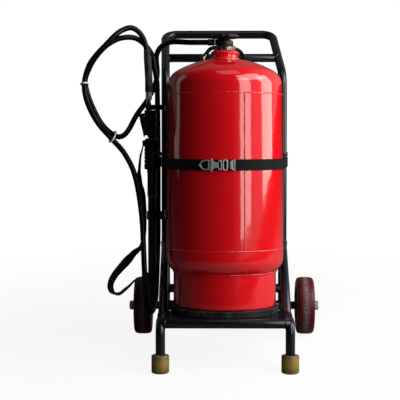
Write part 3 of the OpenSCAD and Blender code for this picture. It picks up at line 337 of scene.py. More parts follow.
def hose_rubber(c):
    # EPDM hose rubber, cured in a cloth wrap: a low sheen with faint wrap marks along it.
    # The cloth's real thread is near 0.6 mm; it is drawn at 0.8 mm.
    f = Finish("EPDM rubber, cloth-wrapped", "UV")
    wrap = add(f.tree, "ShaderNodeTexWave", {
        "Vector": f.place, "Scale": 1000 / 0.8 / math.pi, "Distortion": 0.6, "Detail": 1.0,
        "Detail Scale": 2.0}, wave_type="BANDS", bands_direction="DIAGONAL").outputs[1]
    body = f.coated(shade(c.rubber), (f.patches(25, 5, 0.55, 0.45, 0.7), shade(c.rubber, 1.8)))
    return f.done(body, (f.patches(12, 4, 0.55, 0.3, 0.7), 0.22, 0.32), f.relief((wrap, 0.008)),
                  {"IOR": 1.5, "Specular IOR Level": 0.1})


def tyre_rubber(c):
    # Solid oxide-red rubber, moulded: maroon sides, with patchy grey along the middle of the tread.
    f = Finish("Solid rubber, moulded")
    tread = add(f.tree, "ShaderNodeAttribute", attribute_name="tread").outputs["Fac"]
    grain = f.patches(5, 7, 0.8)
    tone_mask = add(f.tree, "ShaderNodeMath", {0: tread, 1: f.patches(5, 7, 0.8, 0.4, 0.6)},
               operation="MULTIPLY")
    grey = add(f.tree, "ShaderNodeMath", {0: tone_mask, 1: 0.6}, operation="MULTIPLY")
    chips = add(f.tree, "ShaderNodeMath", {0: tread, 1: f.patches(2.2, 4, 0.55, 0.66, 0.72)},
                operation="MULTIPLY")
    body = f.coated(shade(c.tyre), (f.patches(30, 4), shade(c.tyre, 0.55)),
                    (grey, shade(linear("A49CA0"))), (chips, shade(linear("C9C2C0"))))
    normal = f.relief((f.patches(1.1, 3), 0.08), (grain, 0.25))
    return f.done(body, (tone_mask, 0.36, 0.7), normal, {"IOR": 1.5, "Specular IOR Level": 0.25})


def foot_gum(c):
    # Gum rubber, moulded: a waxy amber that lets a little light in, darker olive in mottled patches
    # towards both rims.
    f = Finish("Gum rubber, moulded")
    height = add(f.tree, "ShaderNodeAttribute", attribute_name="height").outputs["Fac"]
    upper, lower = [
        add(f.tree, "ShaderNodeMapRange", {"Value": height, "From Min": low, "From Max": high})
        for low, high in ((0.7, 0.95), (0.42, 0.1))]
    rims = add(f.tree, "ShaderNodeMath", {0: upper, 1: lower}, operation="MAXIMUM")
    share = add(f.tree, "ShaderNodeMath", {0: rims, 1: 0.75, 2: 0.15}, operation="MULTIPLY_ADD")
    darker_at_rims = add(f.tree, "ShaderNodeMath", {0: f.patches(7, 6, 0.7, 0.3, 0.6), 1: share},
                operation="MULTIPLY")
    body = f.coated(shade(c.foot), (f.patches(18, 3), shade(c.foot, 0.6)),
                    (darker_at_rims, shade(linear("3A3A24"))))
    return f.done(body, (f.patches(7, 6, 0.7, 0.3, 0.7), 0.34, 0.58),
                  f.relief((f.patches(7, 6, 0.7), 0.1)),
                  {"IOR": 1.52, "Subsurface Weight": 0.15, "Subsurface Scale": 0.004})


def polyester_webbing(c):
    # Polyester webbing, woven: ribs of yarn across the band, with a sheen painted lighter along
    # their tops and shade painted darker between them.
    # The real ribs are near 1 mm apart; they are drawn a little coarser so that they show.
    f = Finish("Polyester webbing, woven", "UV")
    axes = add(f.tree, "ShaderNodeSeparateXYZ", {"Vector": f.place}).outputs
    pitch = bpy.context.scene.extinguisher_sizes.thread_pitch
    value = {"x": axes["X"], "y": axes["Y"]}
    for name, operation, *inputs in (
            ("column", "DIVIDE", "x", pitch * 1.3), ("row", "DIVIDE", "y", pitch),
            ("whole", "FLOOR", "column"), ("odd", "MODULO", "whole", 2.0),
            ("shift", "MULTIPLY", "odd", 0.5), ("shifted", "ADD", "row", "shift"),
            ("turn", "MULTIPLY", "shifted", math.pi), ("wave", "SINE", "turn"),
            ("rib", "ABSOLUTE", "wave"), ("lap_turn", "MULTIPLY", "column", math.pi),
            ("lap_wave", "SINE", "lap_turn"), ("lap", "ABSOLUTE", "lap_wave"),
            ("rise", "MULTIPLY_ADD", "lap", 0.6, 0.4), ("weave", "MULTIPLY", "rib", "rise")):
        value[name] = add(f.tree, "ShaderNodeMath", {
            key: value.get(each, each) for key, each in enumerate(inputs)}, operation=operation)
    fluff = add(f.tree, "ShaderNodeMath", {0: f.patches(1.2, 4, 0.55, 0.5, 0.8), 1: 0.3},
                operation="MULTIPLY")
    # Painted shade and painted sheen: the colour is half as bright in the hollows between the ribs
    # and 1.7 times as bright on their tops
    body = f.coated(shade(c.webbing, 0.5), (value["weave"], shade(c.webbing, 1.7)),
                    (fluff, shade(linear("15181B"))))
    rough = (f.patches(1.2, 4, 0.55, 0.3, 0.7), 0.5, 0.7)
    return f.done(body, rough, f.relief((value["weave"], 0.22)), {
        "IOR": 1.5, "Specular IOR Level": 0.12, "Sheen Weight": 0.02, "Sheen Roughness": 0.4})


MATERIALS = {}
MAKERS = {"shell_paint": red_enamel, "hose": hose_rubber, "tyre_rubber": tyre_rubber,
          "foot_rubber": foot_gum, "webbing": polyester_webbing}


def material_of(slot):
    """The finish of a material slot, made when it is first asked for."""
    if slot not in MATERIALS:
        colours = bpy.context.scene.extinguisher_colours
        if slot in MAKERS:
            MATERIALS[slot] = MAKERS[slot](colours)
        else:
            MATERIALS[slot] = two_tone(colours, *TWO_TONES[slot])
    return MATERIALS[slot]


# ---------- mesh helpers ----------


def new_piece(name, mesh, finish=None):
    piece = bpy.data.objects.new(name, mesh)
    mesh.name = name
    bpy.context.scene.collection.objects.link(piece)
    if finish:
        mesh.materials.append(material_of(finish))
    return piece


def placed(piece, body, slot, *nodes):
    """Puts a finished piece on its body and hides what it stands for; slot is not used."""
    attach(piece, body)
    if nodes:
        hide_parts(*nodes)
    return piece


def made(name, mesh, slot, *nodes, body="trolley", finish=None):
    """A piece of one mesh that stands for nodes; its finish is its slot's, or another one."""
    return placed(new_piece(name, mesh, finish or slot), body, slot, *nodes)


def mesh_of(points, faces, sharp=40, uvs=None):
    """A smooth-shaded mesh in metres whose faces point outwards; one with a UV map isn't merged."""
    mesh = bpy.data.meshes.new("mesh")
    mesh.from_pydata([tuple(p) for p in points], [], faces)
    if uvs:
        layer = mesh.uv_layers.new(name="UVMap")
        for corner, uv in zip(layer.data, [uv for face in uvs for uv in face]):
            corner.uv = uv
    bm = bmesh.new()
    bm.from_mesh(mesh)
    if not uvs:
        bmesh.ops.remove_doubles(bm, verts=bm.verts, dist=1e-6)
    bmesh.ops.recalc_face_normals(bm, faces=bm.faces)
    bm.to_mesh(mesh)
    bm.free()
    mesh.shade_smooth()
    mesh.set_sharp_from_angle(angle=math.radians(sharp))
    return mesh


def settled(piece):
    """Bakes a piece's modifiers into its mesh."""
    graph = bpy.context.evaluated_depsgraph_get()
    graph.update()
    baked = bpy.data.meshes.new_from_object(piece.evaluated_get(graph), depsgraph=graph)
    piece.modifiers.clear()
    old, piece.data = piece.data, baked
    baked.name = piece.name
    if old.users == 0:
        bpy.data.meshes.remove(old)


def dressed(node, slot, edge=None, body="trolley", finish=None, segments=2):
    """A merged copy of a CAD node with rounded edges, which takes the node's place."""
    bm = bmesh.new()
    bm.from_mesh(NODES[node].data)
    bmesh.ops.remove_doubles(bm, verts=bm.verts, dist=2e-6)
    bmesh.ops.dissolve_degenerate(bm, edges=bm.edges, dist=1e-6)
    bmesh.ops.dissolve_limit(bm, angle_limit=math.radians(0.5), verts=bm.verts, edges=bm.edges)
    clean = bpy.data.meshes.new(node + "_finished")
    bm.to_mesh(clean)
    bm.free()
    clean.shade_smooth()
    piece = new_piece(node + "_finished", clean, finish or slot)
    bevel = piece.modifiers.new("Rounded edges", "BEVEL")
    bevel.width = bpy.context.scene.extinguisher_sizes.edge if edge is None else edge
    bevel.segments = segments
    bevel.limit_method = "ANGLE"
    bevel.angle_limit = math.radians(32)
    bevel.use_clamp_overlap = True
    bevel.harden_normals = True
    settled(piece)
    return placed(piece, body, slot, node)


def circle(r, sides=24):
    return [(r * math.cos(2 * math.pi * k / sides), r * math.sin(2 * math.pi * k / sides))
            for k in range(sides)]


def revolved(profile, segments=96, warp=None, place=None, sharp=40):
    """Turned mesh from (radius, height) points, in mm; warp bends a point (r, z, angle)."""
    points, faces, rows = [], [], []
    for r, z in profile:
        row = []
        for k in range(1 if r < 1e-6 else segments):
            angle = 2 * math.pi * k / segments
            rr, zz = warp(r, z, angle) if warp else (r, z)
            row.append(len(points))
            point = Vector((rr * math.cos(angle), rr * math.sin(angle), zz))
            points.append(stood(place @ point if place else point))
        rows.append(row)
    for a, b in zip(rows, rows[1:]):
        for k in range(segments):
            n = (k + 1) % segments
            face = list(dict.fromkeys([a[k % len(a)], a[n % len(a)], b[n % len(b)], b[k % len(b)]]))
            if len(face) > 2:
                faces.append(face)
    for row in (rows[0], rows[-1]):
        if len(row) > 1 and profile[0] != profile[-1]:
            faces.append(row)
    return mesh_of(points, faces, sharp)


def heading(path, i):
    return (path[min(i + 1, len(path) - 1)] - path[max(i - 1, 0)]).normalized()


def stages(points, step):
    """The segment and the share of it, 0 to 1, of each point on a curve, one for each step."""
    for i, (a, b) in enumerate(zip(points, points[1:])):
        count = max(1, round((b - a).length / step))
        for k in range(count):
            yield i, k / count


def smooth_path(points, step):
    """Points along the CAD's own smooth curve, about one for each step of length."""
    points = [Vector(p) for p in points]
    path = []
    for i, t in stages(points, step):
        a, b = points[i], points[i + 1]
        da, db = heading(points, i) * (b - a).length, heading(points, i + 1) * (b - a).length
        path.append((2 * t**3 - 3 * t**2 + 1) * a + (t**3 - 2 * t**2 + t) * da
                    + (3 * t**2 - 2 * t**3) * b + (t**3 - t**2) * db)
    return path + [points[-1]]


def length_of(path):
    return sum((b - a).length for a, b in zip(path, path[1:]))


def swept(path, outline, side=(0, 1, 0.02), turns=None, hollow=False):
    """A skin that carries an outline along a path in mm, with its UV map in metres.

    outline is a list of (side, up) offsets, or a function that gives one for each distance.
    turns are the angles in degrees by which the section turns away from a fixed side."""
    carried, points, faces, uvs, rings, distance = Vector(side), [], [], [], [], 0.0
    for i, centre in enumerate(path):
        way = heading(path, i)
        start = Vector(side) if turns else carried
        carried = (start - way * start.dot(way)).normalized()
        angle = math.radians(turns[i]) if turns else 0.0
        u = math.cos(angle) * carried + math.sin(angle) * way.cross(carried)
        v = way.cross(u)
        if i:
            distance += (centre - path[i - 1]).length
        shape = outline(distance) if callable(outline) else outline
        around, ring = 0.0, []
        for k, (a, b) in enumerate(shape):
            if k:
                around += math.dist(shape[k - 1], (a, b))
            ring.append((around / 1000, distance / 1000))
            points.append(stood(centre + a * u + b * v))
        rings.append(ring + [((around + math.dist(shape[-1], shape[0])) / 1000, distance / 1000)])
    n, last = len(rings[0]) - 1, len(path) - 1
    for i in range(last):
        for k in range(n):
            m = (k + 1) % n
            faces.append([i * n + k, (i + 1) * n + k, (i + 1) * n + m, i * n + m])
            uvs.append([rings[i][k], rings[i + 1][k], rings[i + 1][k + 1], rings[i][k + 1]])
    if not hollow:
        faces += [list(range(n)), [last * n + k for k in reversed(range(n))]]
        uvs += [rings[0][:n], rings[-1][n - 1 :: -1]]
    return mesh_of(points, faces, uvs=uvs)


def webbing_section(width, thickness):
    """Outline of a woven band with rounded selvedges."""
    half, t = width / 2, thickness / 2
    return [(-half + 0.5, -t), (-half * 0.45, -t), (half * 0.45, -t), (half - 0.5, -t),
            (half, -t * 0.4), (half, t * 0.4), (half - 0.5, t), (half * 0.45, t),
            (-half * 0.45, t), (-half + 0.5, t), (-half, t * 0.4), (-half, -t * 0.4)]


def bent_path(corners, bend, step=4.0):
    """Straight runs and bends through corner points in space, with one bend radius."""
    corners = [Vector(c) for c in corners]
    path = [corners[0]]
    for before, corner, after in zip(corners, corners[1:], corners[2:]):
        a, b = (before - corner).normalized(), (after - corner).normalized()
        opening = a.angle(b)
        trim = bend / math.tan(opening / 2)
        centre = corner + (a + b).normalized() * bend / math.sin(opening / 2)
        start, end = corner + a * trim - centre, corner + b * trim - centre
        count = max(4, round(bend * (math.pi - opening) / step))
        axis = start.cross(end).normalized()
        for k in range(count + 1):
            path.append(centre + Matrix.Rotation((math.pi - opening) * k / count, 3, axis) @ start)
    return path + [corners[-1]]


# ---------- geometry node trees ----------


def node_tree(name, inputs):
    """A tree with a mesh input and named inputs for its sizes, and the sockets of these."""
    tree = bpy.data.node_groups.new(name, "GeometryNodeTree")
    for label, kind in {"Geometry": "Geometry", **inputs, "Material": "Material"}.items():
        tree.interface.new_socket(name=label, in_out="INPUT", socket_type="NodeSocket" + kind)
    tree.interface.new_socket(name="Geometry", in_out="OUTPUT", socket_type="NodeSocketGeometry")
    return tree, add(tree, "NodeGroupInput").outputs


def ended(tree, size, skin):
    """Makes a tree's instances real, sets its material and leads it out."""
    real = add(tree, "GeometryNodeRealizeInstances", {"Geometry": skin})
    painted = add(tree, "GeometryNodeSetMaterial", {"Geometry": real, "Material": size["Material"]})
    add(tree, "NodeGroupOutput", {"Geometry": painted})
    return tree


def bead_tree():
    """A weld bead: a round strip whose radius swells at each ripple, with a little chance."""
    tree, size = node_tree("Weld bead", {
        "Radius": "Float", "Ripple Pitch": "Float", "Ripple Depth": "Float", "Seed": "Int"})
    curve = add(tree, "GeometryNodeMeshToCurve", {"Mesh": size["Geometry"]})
    step = add(tree, "ShaderNodeMath", {0: size["Ripple Pitch"], 1: 6.0}, operation="DIVIDE")
    fine = add(tree, "GeometryNodeResampleCurve", {"Curve": curve, "Length": step}, mode="LENGTH")
    along = add(tree, "GeometryNodeSplineParameter").outputs["Length"]
    turns = add(tree, "ShaderNodeMath", {0: along, 1: size["Ripple Pitch"]}, operation="DIVIDE")
    whole = add(tree, "ShaderNodeMath", {0: turns}, operation="FLOOR")
    chance = add(tree, "FunctionNodeRandomValue", {
        2: -0.5, 3: 0.5, "ID": whole, "Seed": size["Seed"]}, data_type="FLOAT").outputs[1]
    value = turns
    for operation, values in (
            ("FRACT", {0: None}), ("ADD", {0: None, 1: chance}),
            ("MULTIPLY", {0: None, 1: size["Ripple Depth"]}), ("SUBTRACT", {0: 1.0, 1: None}),
            ("MULTIPLY", {0: None, 1: size["Radius"]})):
        inputs = {key: value if other is None else other for key, other in values.items()}
        value = add(tree, "ShaderNodeMath", inputs, operation=operation)
    profile = add(tree, "GeometryNodeCurvePrimitiveCircle", {"Resolution": 8, "Radius": 1.0},
                  mode="RADIUS")
    skin = add(tree, "GeometryNodeCurveToMesh", {
        "Curve": fine, "Profile Curve": profile, "Scale": value, "Fill Caps": True})
    return ended(tree, size, add(tree, "GeometryNodeSetShadeSmooth", {"Geometry": skin}))


def rib_tree():
    """Upright round ribs at the points of a ring, from its plane upwards."""
    tree, size = node_tree("Upright ribs", {
        "Count": "Int", "Ring Radius": "Float", "Rib Radius": "Float", "Height": "Float"})
    ring = add(tree, "GeometryNodeMeshCircle", {
        "Vertices": size["Count"], "Radius": size["Ring Radius"]})
    rib = add(tree, "GeometryNodeMeshCylinder", {
        "Vertices": 8, "Radius": size["Rib Radius"], "Depth": size["Height"]})
    return ended(tree, size, add(tree, "GeometryNodeInstanceOnPoints", {
        "Points": ring, "Instance": rib}))


def stitch_tree():
    """Stitches along a line of thread: short capsules with a gap, sunk into the cloth."""
    tree, size = node_tree("Stitches", {"Stitch Length": "Float", "Thread Radius": "Float"})
    curve = add(tree, "GeometryNodeMeshToCurve", {"Mesh": size["Geometry"]})
    spaced = add(tree, "GeometryNodeResampleCurve", {
        "Curve": curve, "Length": size["Stitch Length"]}, mode="LENGTH")
    facing = add(tree, "FunctionNodeAlignRotationToVector", {
        "Vector": add(tree, "GeometryNodeInputTangent")}, axis="Z")
    bead = add(tree, "GeometryNodeMeshUVSphere", {
        "Segments": 6, "Rings": 5, "Radius": size["Thread Radius"]})
    ratio = add(tree, "ShaderNodeMath", {0: size["Stitch Length"], 1: size["Thread Radius"]},
                operation="DIVIDE")
    reach = add(tree, "ShaderNodeMath", {0: ratio, 1: 0.4}, operation="MULTIPLY")
    return ended(tree, size, add(tree, "GeometryNodeInstanceOnPoints", {
        "Points": spaced, "Rotation": facing,
        "Instance": add(tree, "GeometryNodeSetShadeSmooth", {"Geometry": bead}),
        "Scale": add(tree, "ShaderNodeCombineXYZ", {"X": 1.0, "Y": 1.0, "Z": reach})}))


TREES = {}


def grown(piece, maker, values):
    """Gives a piece a tree with its inputs, and bakes the result into its mesh."""
    if maker not in TREES:
        TREES[maker] = maker()
    modifier = piece.modifiers.new(TREES[maker].name, "NODES")
    modifier.node_group = TREES[maker]
    for item in TREES[maker].interface.items_tree:
        if item.in_out == "INPUT" and item.name in values:
            modifier[item.identifier] = values[item.name]
    settled(piece)
    piece.data.validate()


def lines_mesh(runs):
    """Edges along runs of points in mm; a run whose ends meet is closed."""
    points, edges = [], []
    for run in runs:
        first = len(points)
        closed = (run[0] - run[-1]).length < 0.01
        run = run[:-1] if closed else run
        points += [tuple(stood(p)) for p in run]
        edges += [(first + k, first + k + 1) for k in range(len(run) - 1)]
        if closed:
            edges.append((first + len(run) - 1, first))
    mesh = bpy.data.meshes.new("lines")
    mesh.from_pydata(points, edges, [])
    return mesh


def weld(name, runs, slot, radius=None, pitch=None, depth=0.16, seed=1):
    sizes = bpy.context.scene.extinguisher_sizes
    piece = new_piece(name, lines_mesh(runs))
    grown(piece, bead_tree, {
        "Radius": radius or sizes.bead_radius, "Ripple Pitch": pitch or sizes.bead_pitch,
        "Ripple Depth": depth, "Seed": seed, "Material": material_of(slot)})
    placed(piece, "trolley", slot)


def tee_run(main, way, branch, out, count=48):
    """The line in which a branch tube meets the skin of a main tube; its ends meet."""
    main, branch = Vector(main), Vector(branch)
    way, out = Vector(way).normalized(), Vector(out).normalized()
    u = out.orthogonal().normalized()
    v = out.cross(u)
    step = out - way * out.dot(way)
    run = []
    for x, y in circle(TUBE_R, count):
        start = branch + x * u + y * v
        off = start - main - way * (start - main).dot(way)
        qa, qb, qc = step.dot(step), 2 * off.dot(step), off.dot(off) - TUBE_R**2
        root = (-qb + math.sqrt(max(0.0, qb * qb - 4 * qa * qc))) / (2 * qa)
        run.append(start + out * root)
    return run + [run[0]]


def ring_run(r, z, count):
    run = [Vector((x, y, z)) for x, y in circle(r, count)]
    return run + [run[0]]


# ---------- stage and camera ----------


class EXTINGUISHER_OT_stage(bpy.types.Operator):
    """Build the studio: floor, backdrop light, lamps and the camera"""

    bl_idname = "extinguisher.stage"
    bl_label = "Stage"

    def execute(self, context):
        scene = context.scene
        scene.view_settings.view_transform = "Standard"
        self.camera(scene)
        self.floor(scene)
        for lamp in LAMPS:
            self.lamp(scene, *lamp)
        self.world(scene)
        return {"FINISHED"}

    def camera(self, scene):
        """Stands where the front is seen square to the leaning cylinder, a little from the left."""
        turn = math.radians(EYE_TURN)
        right = Vector((math.cos(turn), -math.sin(turn), 0))
        ahead = Vector((math.sin(turn), math.cos(turn), 0))
        upright = Vector((0, 0, 1))
        eye = EYE_Z * upright - EYE_DISTANCE * ahead
        # Aimed a little to the left of and below the level line of sight
        aim = (SIGHT_AHEAD * ahead - SIGHT_LEFT * right - SIGHT_DOWN * upright).normalized()
        turned = STAND.to_3x3().normalized()
        back = -(turned @ aim)
        side = (turned @ upright).cross(back).normalized()
        data = bpy.data.cameras.new("Camera")
        data.lens = FOCAL_PX / FRAME_PX * SENSOR_MM
        data.sensor_width = SENSOR_MM
        data.sensor_fit = "HORIZONTAL"
        data.clip_start, data.clip_end = 0.05, 100
        camera = bpy.data.objects.new("Camera", data)
        camera.matrix_world = Matrix.Translation(stood(eye)) @ Matrix(
            (side, back.cross(side), back)).transposed().to_4x4()
        scene.collection.objects.link(camera)
        scene.camera = camera

    def floor(self, scene):
        # Rings of faces that grow outwards from a small disc, just under the feet
        n = 64
        points, faces = [(0, 0, -0.0002)], [[0, 1 + k, 1 + (k + 1) % n] for k in range(n)]
        for i, r in enumerate((0.5, 1.5, 4, 12, 40)):
            points += [(x, y, -0.0002) for x, y in circle(r, n)]
            if i:
                a, b = 1 + (i - 1) * n, 1 + i * n
                faces += [[a + k, b + k, b + (k + 1) % n, a + (k + 1) % n] for k in range(n)]
        mesh = bpy.data.meshes.new("floor")
        mesh.from_pydata(points, [], faces)
        floor = bpy.data.objects.new("studio_floor", mesh)
        scene.collection.objects.link(floor)
        # Matt vinyl sweep: it takes the soft shadow near the object and fades to plain white
        material = bpy.data.materials.new("Vinyl sweep, matt")
        material.use_nodes = True
        tree = material.node_tree
        tree.nodes.clear()
        place = add(tree, "ShaderNodeTexCoord").outputs["Object"]
        away = add(tree, "ShaderNodeVectorMath", {0: place}, operation="LENGTH").outputs["Value"]
        fade = add(tree, "ShaderNodeMapRange", {
            "Value": away, "From Min": 0.45, "From Max": 1.3}, interpolation_type="SMOOTHSTEP")
        grain = add(tree, "ShaderNodeTexNoise", {"Vector": place, "Scale": 300.0})
        pale = scene.extinguisher_colours.floor
        tone = add(tree, "ShaderNodeMix", {0: grain, 6: shade(pale), 7: shade(pale, 0.985)},
                   data_type="RGBA")
        matt = add(tree, "ShaderNodeBsdfDiffuse", {"Color": tone})
        glow = add(tree, "ShaderNodeEmission", {"Color": (1, 1, 1, 1), "Strength": 1.0})
        # Away from the eye the sweep is a dull grey, so that it sends little light back up
        dull = add(tree, "ShaderNodeBsdfDiffuse", {"Color": (0.22, 0.22, 0.22, 1)})
        near = add(tree, "ShaderNodeMixShader", {0: 0.9, 1: matt, 2: glow})
        faded = add(tree, "ShaderNodeMixShader", {0: fade, 1: near, 2: glow})
        seen = add(tree, "ShaderNodeLightPath").outputs["Is Camera Ray"]
        shown = add(tree, "ShaderNodeMixShader", {0: seen, 1: dull, 2: faded})
        add(tree, "ShaderNodeOutputMaterial", {"Surface": shown})
        mesh.materials.append(material)

    def lamp(self, scene, name, azimuth, distance, z, aimed_at, width, height, power, tint,
             glossy, diffuse):
        data = bpy.data.lights.new(name, "AREA")
        data.shape, data.size, data.size_y = "RECTANGLE", width, height
        data.energy, data.color = power, tint
        light = bpy.data.objects.new(name, data)
        a = math.radians(azimuth)
        light.location = at = Vector((distance * math.sin(a), -distance * math.cos(a), z))
        light.rotation_euler = (Vector((0, 0, aimed_at)) - at).to_track_quat("-Z", "Y").to_euler()
        light.visible_camera = False
        light.visible_glossy, light.visible_diffuse = glossy, diffuse
        scene.collection.objects.link(light)

    def world(self, scene):
        """White to the eye; a dim room for the light that falls on the object."""
        scene.world = bpy.data.worlds.new("Studio")
        scene.world.use_nodes = True
        tree = scene.world.node_tree
        tree.nodes.clear()
        ray = add(tree, "ShaderNodeLightPath").outputs
        mirrored = add(tree, "ShaderNodeMath", {
            0: ray["Is Glossy Ray"], 1: ray["Is Transmission Ray"]}, operation="MAXIMUM")
        axes = add(tree, "ShaderNodeSeparateXYZ", {
            "Vector": add(tree, "ShaderNodeTexCoord").outputs["Generated"]}).outputs
        # The backdrop stands behind the object, so only mirrored rays that leave that way see it
        behind = add(tree, "ShaderNodeMapRange", {
            "Value": axes["Y"], "From Min": 0.15, "From Max": 0.5, "To Min": 0.008, "To Max": 0.12})
        # The lamps' side of the room is pale too
        beside = add(tree, "ShaderNodeMapRange", {
            "Value": axes["X"], "From Min": 0.25, "From Max": 0.9, "To Min": 0.0, "To Max": 0.5})
        room = add(tree, "ShaderNodeMath", {0: behind, 1: beside}, operation="ADD")
        lit = add(tree, "ShaderNodeMix", {0: mirrored, 2: 0.03, 3: room}, data_type="FLOAT")
        strength = add(tree, "ShaderNodeMix", {0: ray["Is Camera Ray"], 2: lit, 3: 1.0},
                       data_type="FLOAT")
        light = add(tree, "ShaderNodeBackground", {"Color": (1, 1, 1, 1), "Strength": strength})
        add(tree, "ShaderNodeOutputWorld", {"Surface": light})


# ---------- hose, ties and sling ----------


class EXTINGUISHER_OT_hose(bpy.types.Operator):
    """Build the discharge hose, its bend protector and the two ties that hold its loops"""

    bl_idname = "extinguisher.hose"
    bl_label = "Hose and Ties"

    def execute(self, context):
        step = context.scene.extinguisher_sizes.hose_step * 1000
        path = smooth_path(HOSE_ROUTE + SLEEVE_ROUTE, step)
        covered = path[len(smooth_path(HOSE_ROUTE, step)) - 1 :]
        total = length_of(covered)

        def protector(s):
            # Tapers to the hose at its top, ribbed below that, and swells over the ferrule's lip
            taper = HOSE_R + 0.5 + (SLEEVE_R - HOSE_R - 0.5) * min(1, s / 22) ** 0.6
            ribs = 0.35 * (0.5 + 0.5 * math.cos(2 * math.pi * s / 7)) if s > 24 else 0
            lip = 0.0 if total - s > 1.5 else 0.8
            return circle(taper - ribs - lip, 32)

        hose = made("discharge_hose", swept(path, circle(HOSE_R)), "rubber", "hose", finish="hose")
        sleeve = made("bend_protector", swept(smooth_path(covered, 1.2), protector), "rubber",
                      "hose_sleeve")
        ties = self.ties()
        return {"FINISHED"}

    def ties(self):
        """Nylon bands round two strands, each with its locking head and cut tail."""
        mesh = bpy.data.meshes.new("cable_ties")
        bm = bmesh.new()
        route = [Vector(p) for p in HOSE_ROUTE]
        for a, b, slack in TIE_PAIRS:
            apart, middle = (route[a] - route[b]).length, (route[a] + route[b]) / 2
            ha, hb = heading(route, a), heading(route, b)
            z = (ha * (1 if ha.dot(hb) > 0 else -1) + hb).normalized()
            y = route[b] - route[a]
            y = (y - z * y.dot(z)).normalized()
            x = y.cross(z)
            inner, outer, n = HOSE_R + slack, HOSE_R + slack + TIE_T, 20

            def at(u, v, w):
                return tuple(stood(middle + u * x + v * y + w * z))

            def stadium(r):
                ring = [(r * math.cos(math.pi * k / n), apart / 2 + r * math.sin(math.pi * k / n))
                        for k in range(n + 1)]
                return ring + [(-u, -v) for u, v in ring]

            section = [(inner + 0.15, -1.8), (inner, 0), (inner + 0.15, 1.8), (outer - 0.2, 2),
                       (outer, 0.9), (outer, -0.9), (outer - 0.2, -2)]
            rows = [[bm.verts.new(at(u, v, w)) for u, v in stadium(r)] for r, w in section]
            count = len(rows[0])
            for row, up in zip(rows, rows[1:] + rows[:1]):
                for k in range(count):
                    m = (k + 1) % count
                    bm.faces.new((row[k], row[m], up[m], up[k]))
            # A small bevelled head outside the band, and the tail that leaves it
            self.block(bm, at, (outer - 0.4, outer + 2.6), (-2.6, 2.6), (-2.6, 2.6), 0.5)
            self.block(bm, at, (outer - 0.2, outer + 0.9), (2.4, 7.2), (-1.7, 1.7), 0.3)
        bmesh.ops.recalc_face_normals(bm, faces=bm.faces)
        bm.to_mesh(mesh)
        bm.free()
        mesh.shade_smooth()
        mesh.set_sharp_from_angle(angle=math.radians(35))
        return made("nylon_ties", mesh, "nylon", "cable_ties")

    def block(self, bm, at, us, vs, ws, round_mm):
        corners = [bm.verts.new(at(u, v, w)) for u in us for v in vs for w in ws]
        quads = [(0, 1, 3, 2), (4, 6, 7, 5), (0, 4, 5, 1), (2, 3, 7, 6), (0, 2, 6, 4), (1, 5, 7, 3)]
        faces = [bm.faces.new([corners[i] for i in q]) for q in quads]
        edges = {e for face in faces for e in face.edges}
        bmesh.ops.bevel(bm, geom=list(edges), offset=round_mm / 1000, segments=2, profile=0.7,
                        affect="EDGES")


class EXTINGUISHER_OT_sling(bpy.types.Operator):
    """Build the gun's carrying sling, with a sewn loop round the grip and one round the lance"""

    bl_idname = "extinguisher.sling"
    bl_label = "Carrying Sling"

    def execute(self, context):
        centres = [Vector(c) for c, _ in SLING_ROUTE]
        angles = [angle for _, angle in SLING_ROUTE]
        path = smooth_path(centres, SLING_STEP)
        turns = [angles[i] + (angles[i + 1] - angles[i]) * t * t * (3 - 2 * t)
                 for i, t in stages(centres, SLING_STEP)] + angles[-1:]
        mesh = swept(path, webbing_section(SLING_W, SLING_T), side=(0, 1, 0), turns=turns)
        sling = made("carrying_sling", mesh, "webbing", "gun_sling")
        loops = [self.loop("sling_loop_grip", GRIP_R, *GRIP_LOOP),
                 self.loop("sling_loop_lance", LANCE_R, *LANCE_LOOP)]
        return {"FINISHED"}

    def loop(self, name, r, low, high):
        """Webbing wound once round the gun, between two heights, a little proud of it."""
        ring = circle(r + 1.3, 64)
        path = [Vector((GUN_X + x, GUN_Y + y, (low + high) / 2)) for x, y in ring + ring[:1]]
        outline = [(out, up) for up, out in webbing_section(high - low, 1.8)]
        return made(name, swept(path, outline, side=(1, 0, 0), hollow=True), "webbing")


# ---------- cylinder ----------


def arc(cx, cy, r, start, end, count):
    turns = [math.radians(start + (end - start) * k / count) for k in range(count + 1)]
    return [(cx + r * math.cos(a), cy + r * math.sin(a)) for a in turns]


def dome(r, z, up):
    """Outline of a dome from the shell's tangent line to the axis."""
    drop = math.sqrt((CROWN_R - KNUCKLE_R) ** 2 - (r - KNUCKLE_R) ** 2)
    join = math.degrees(math.atan2(drop, r - KNUCKLE_R))
    knuckle = arc(r - KNUCKLE_R, 0, KNUCKLE_R, 0, join, 16)
    crown = arc(0, -drop, CROWN_R, join, 90, 26)
    return [(max(p[0], 0.0), z + up * p[1]) for p in knuckle + crown[1:]]


def shell_r_at(z):
    share = (z - SHELL_LOW_Z) / (SHELL_HIGH_Z - SHELL_LOW_Z)
    return SHELL_LOW_R + (SHELL_HIGH_R - SHELL_LOW_R) * share


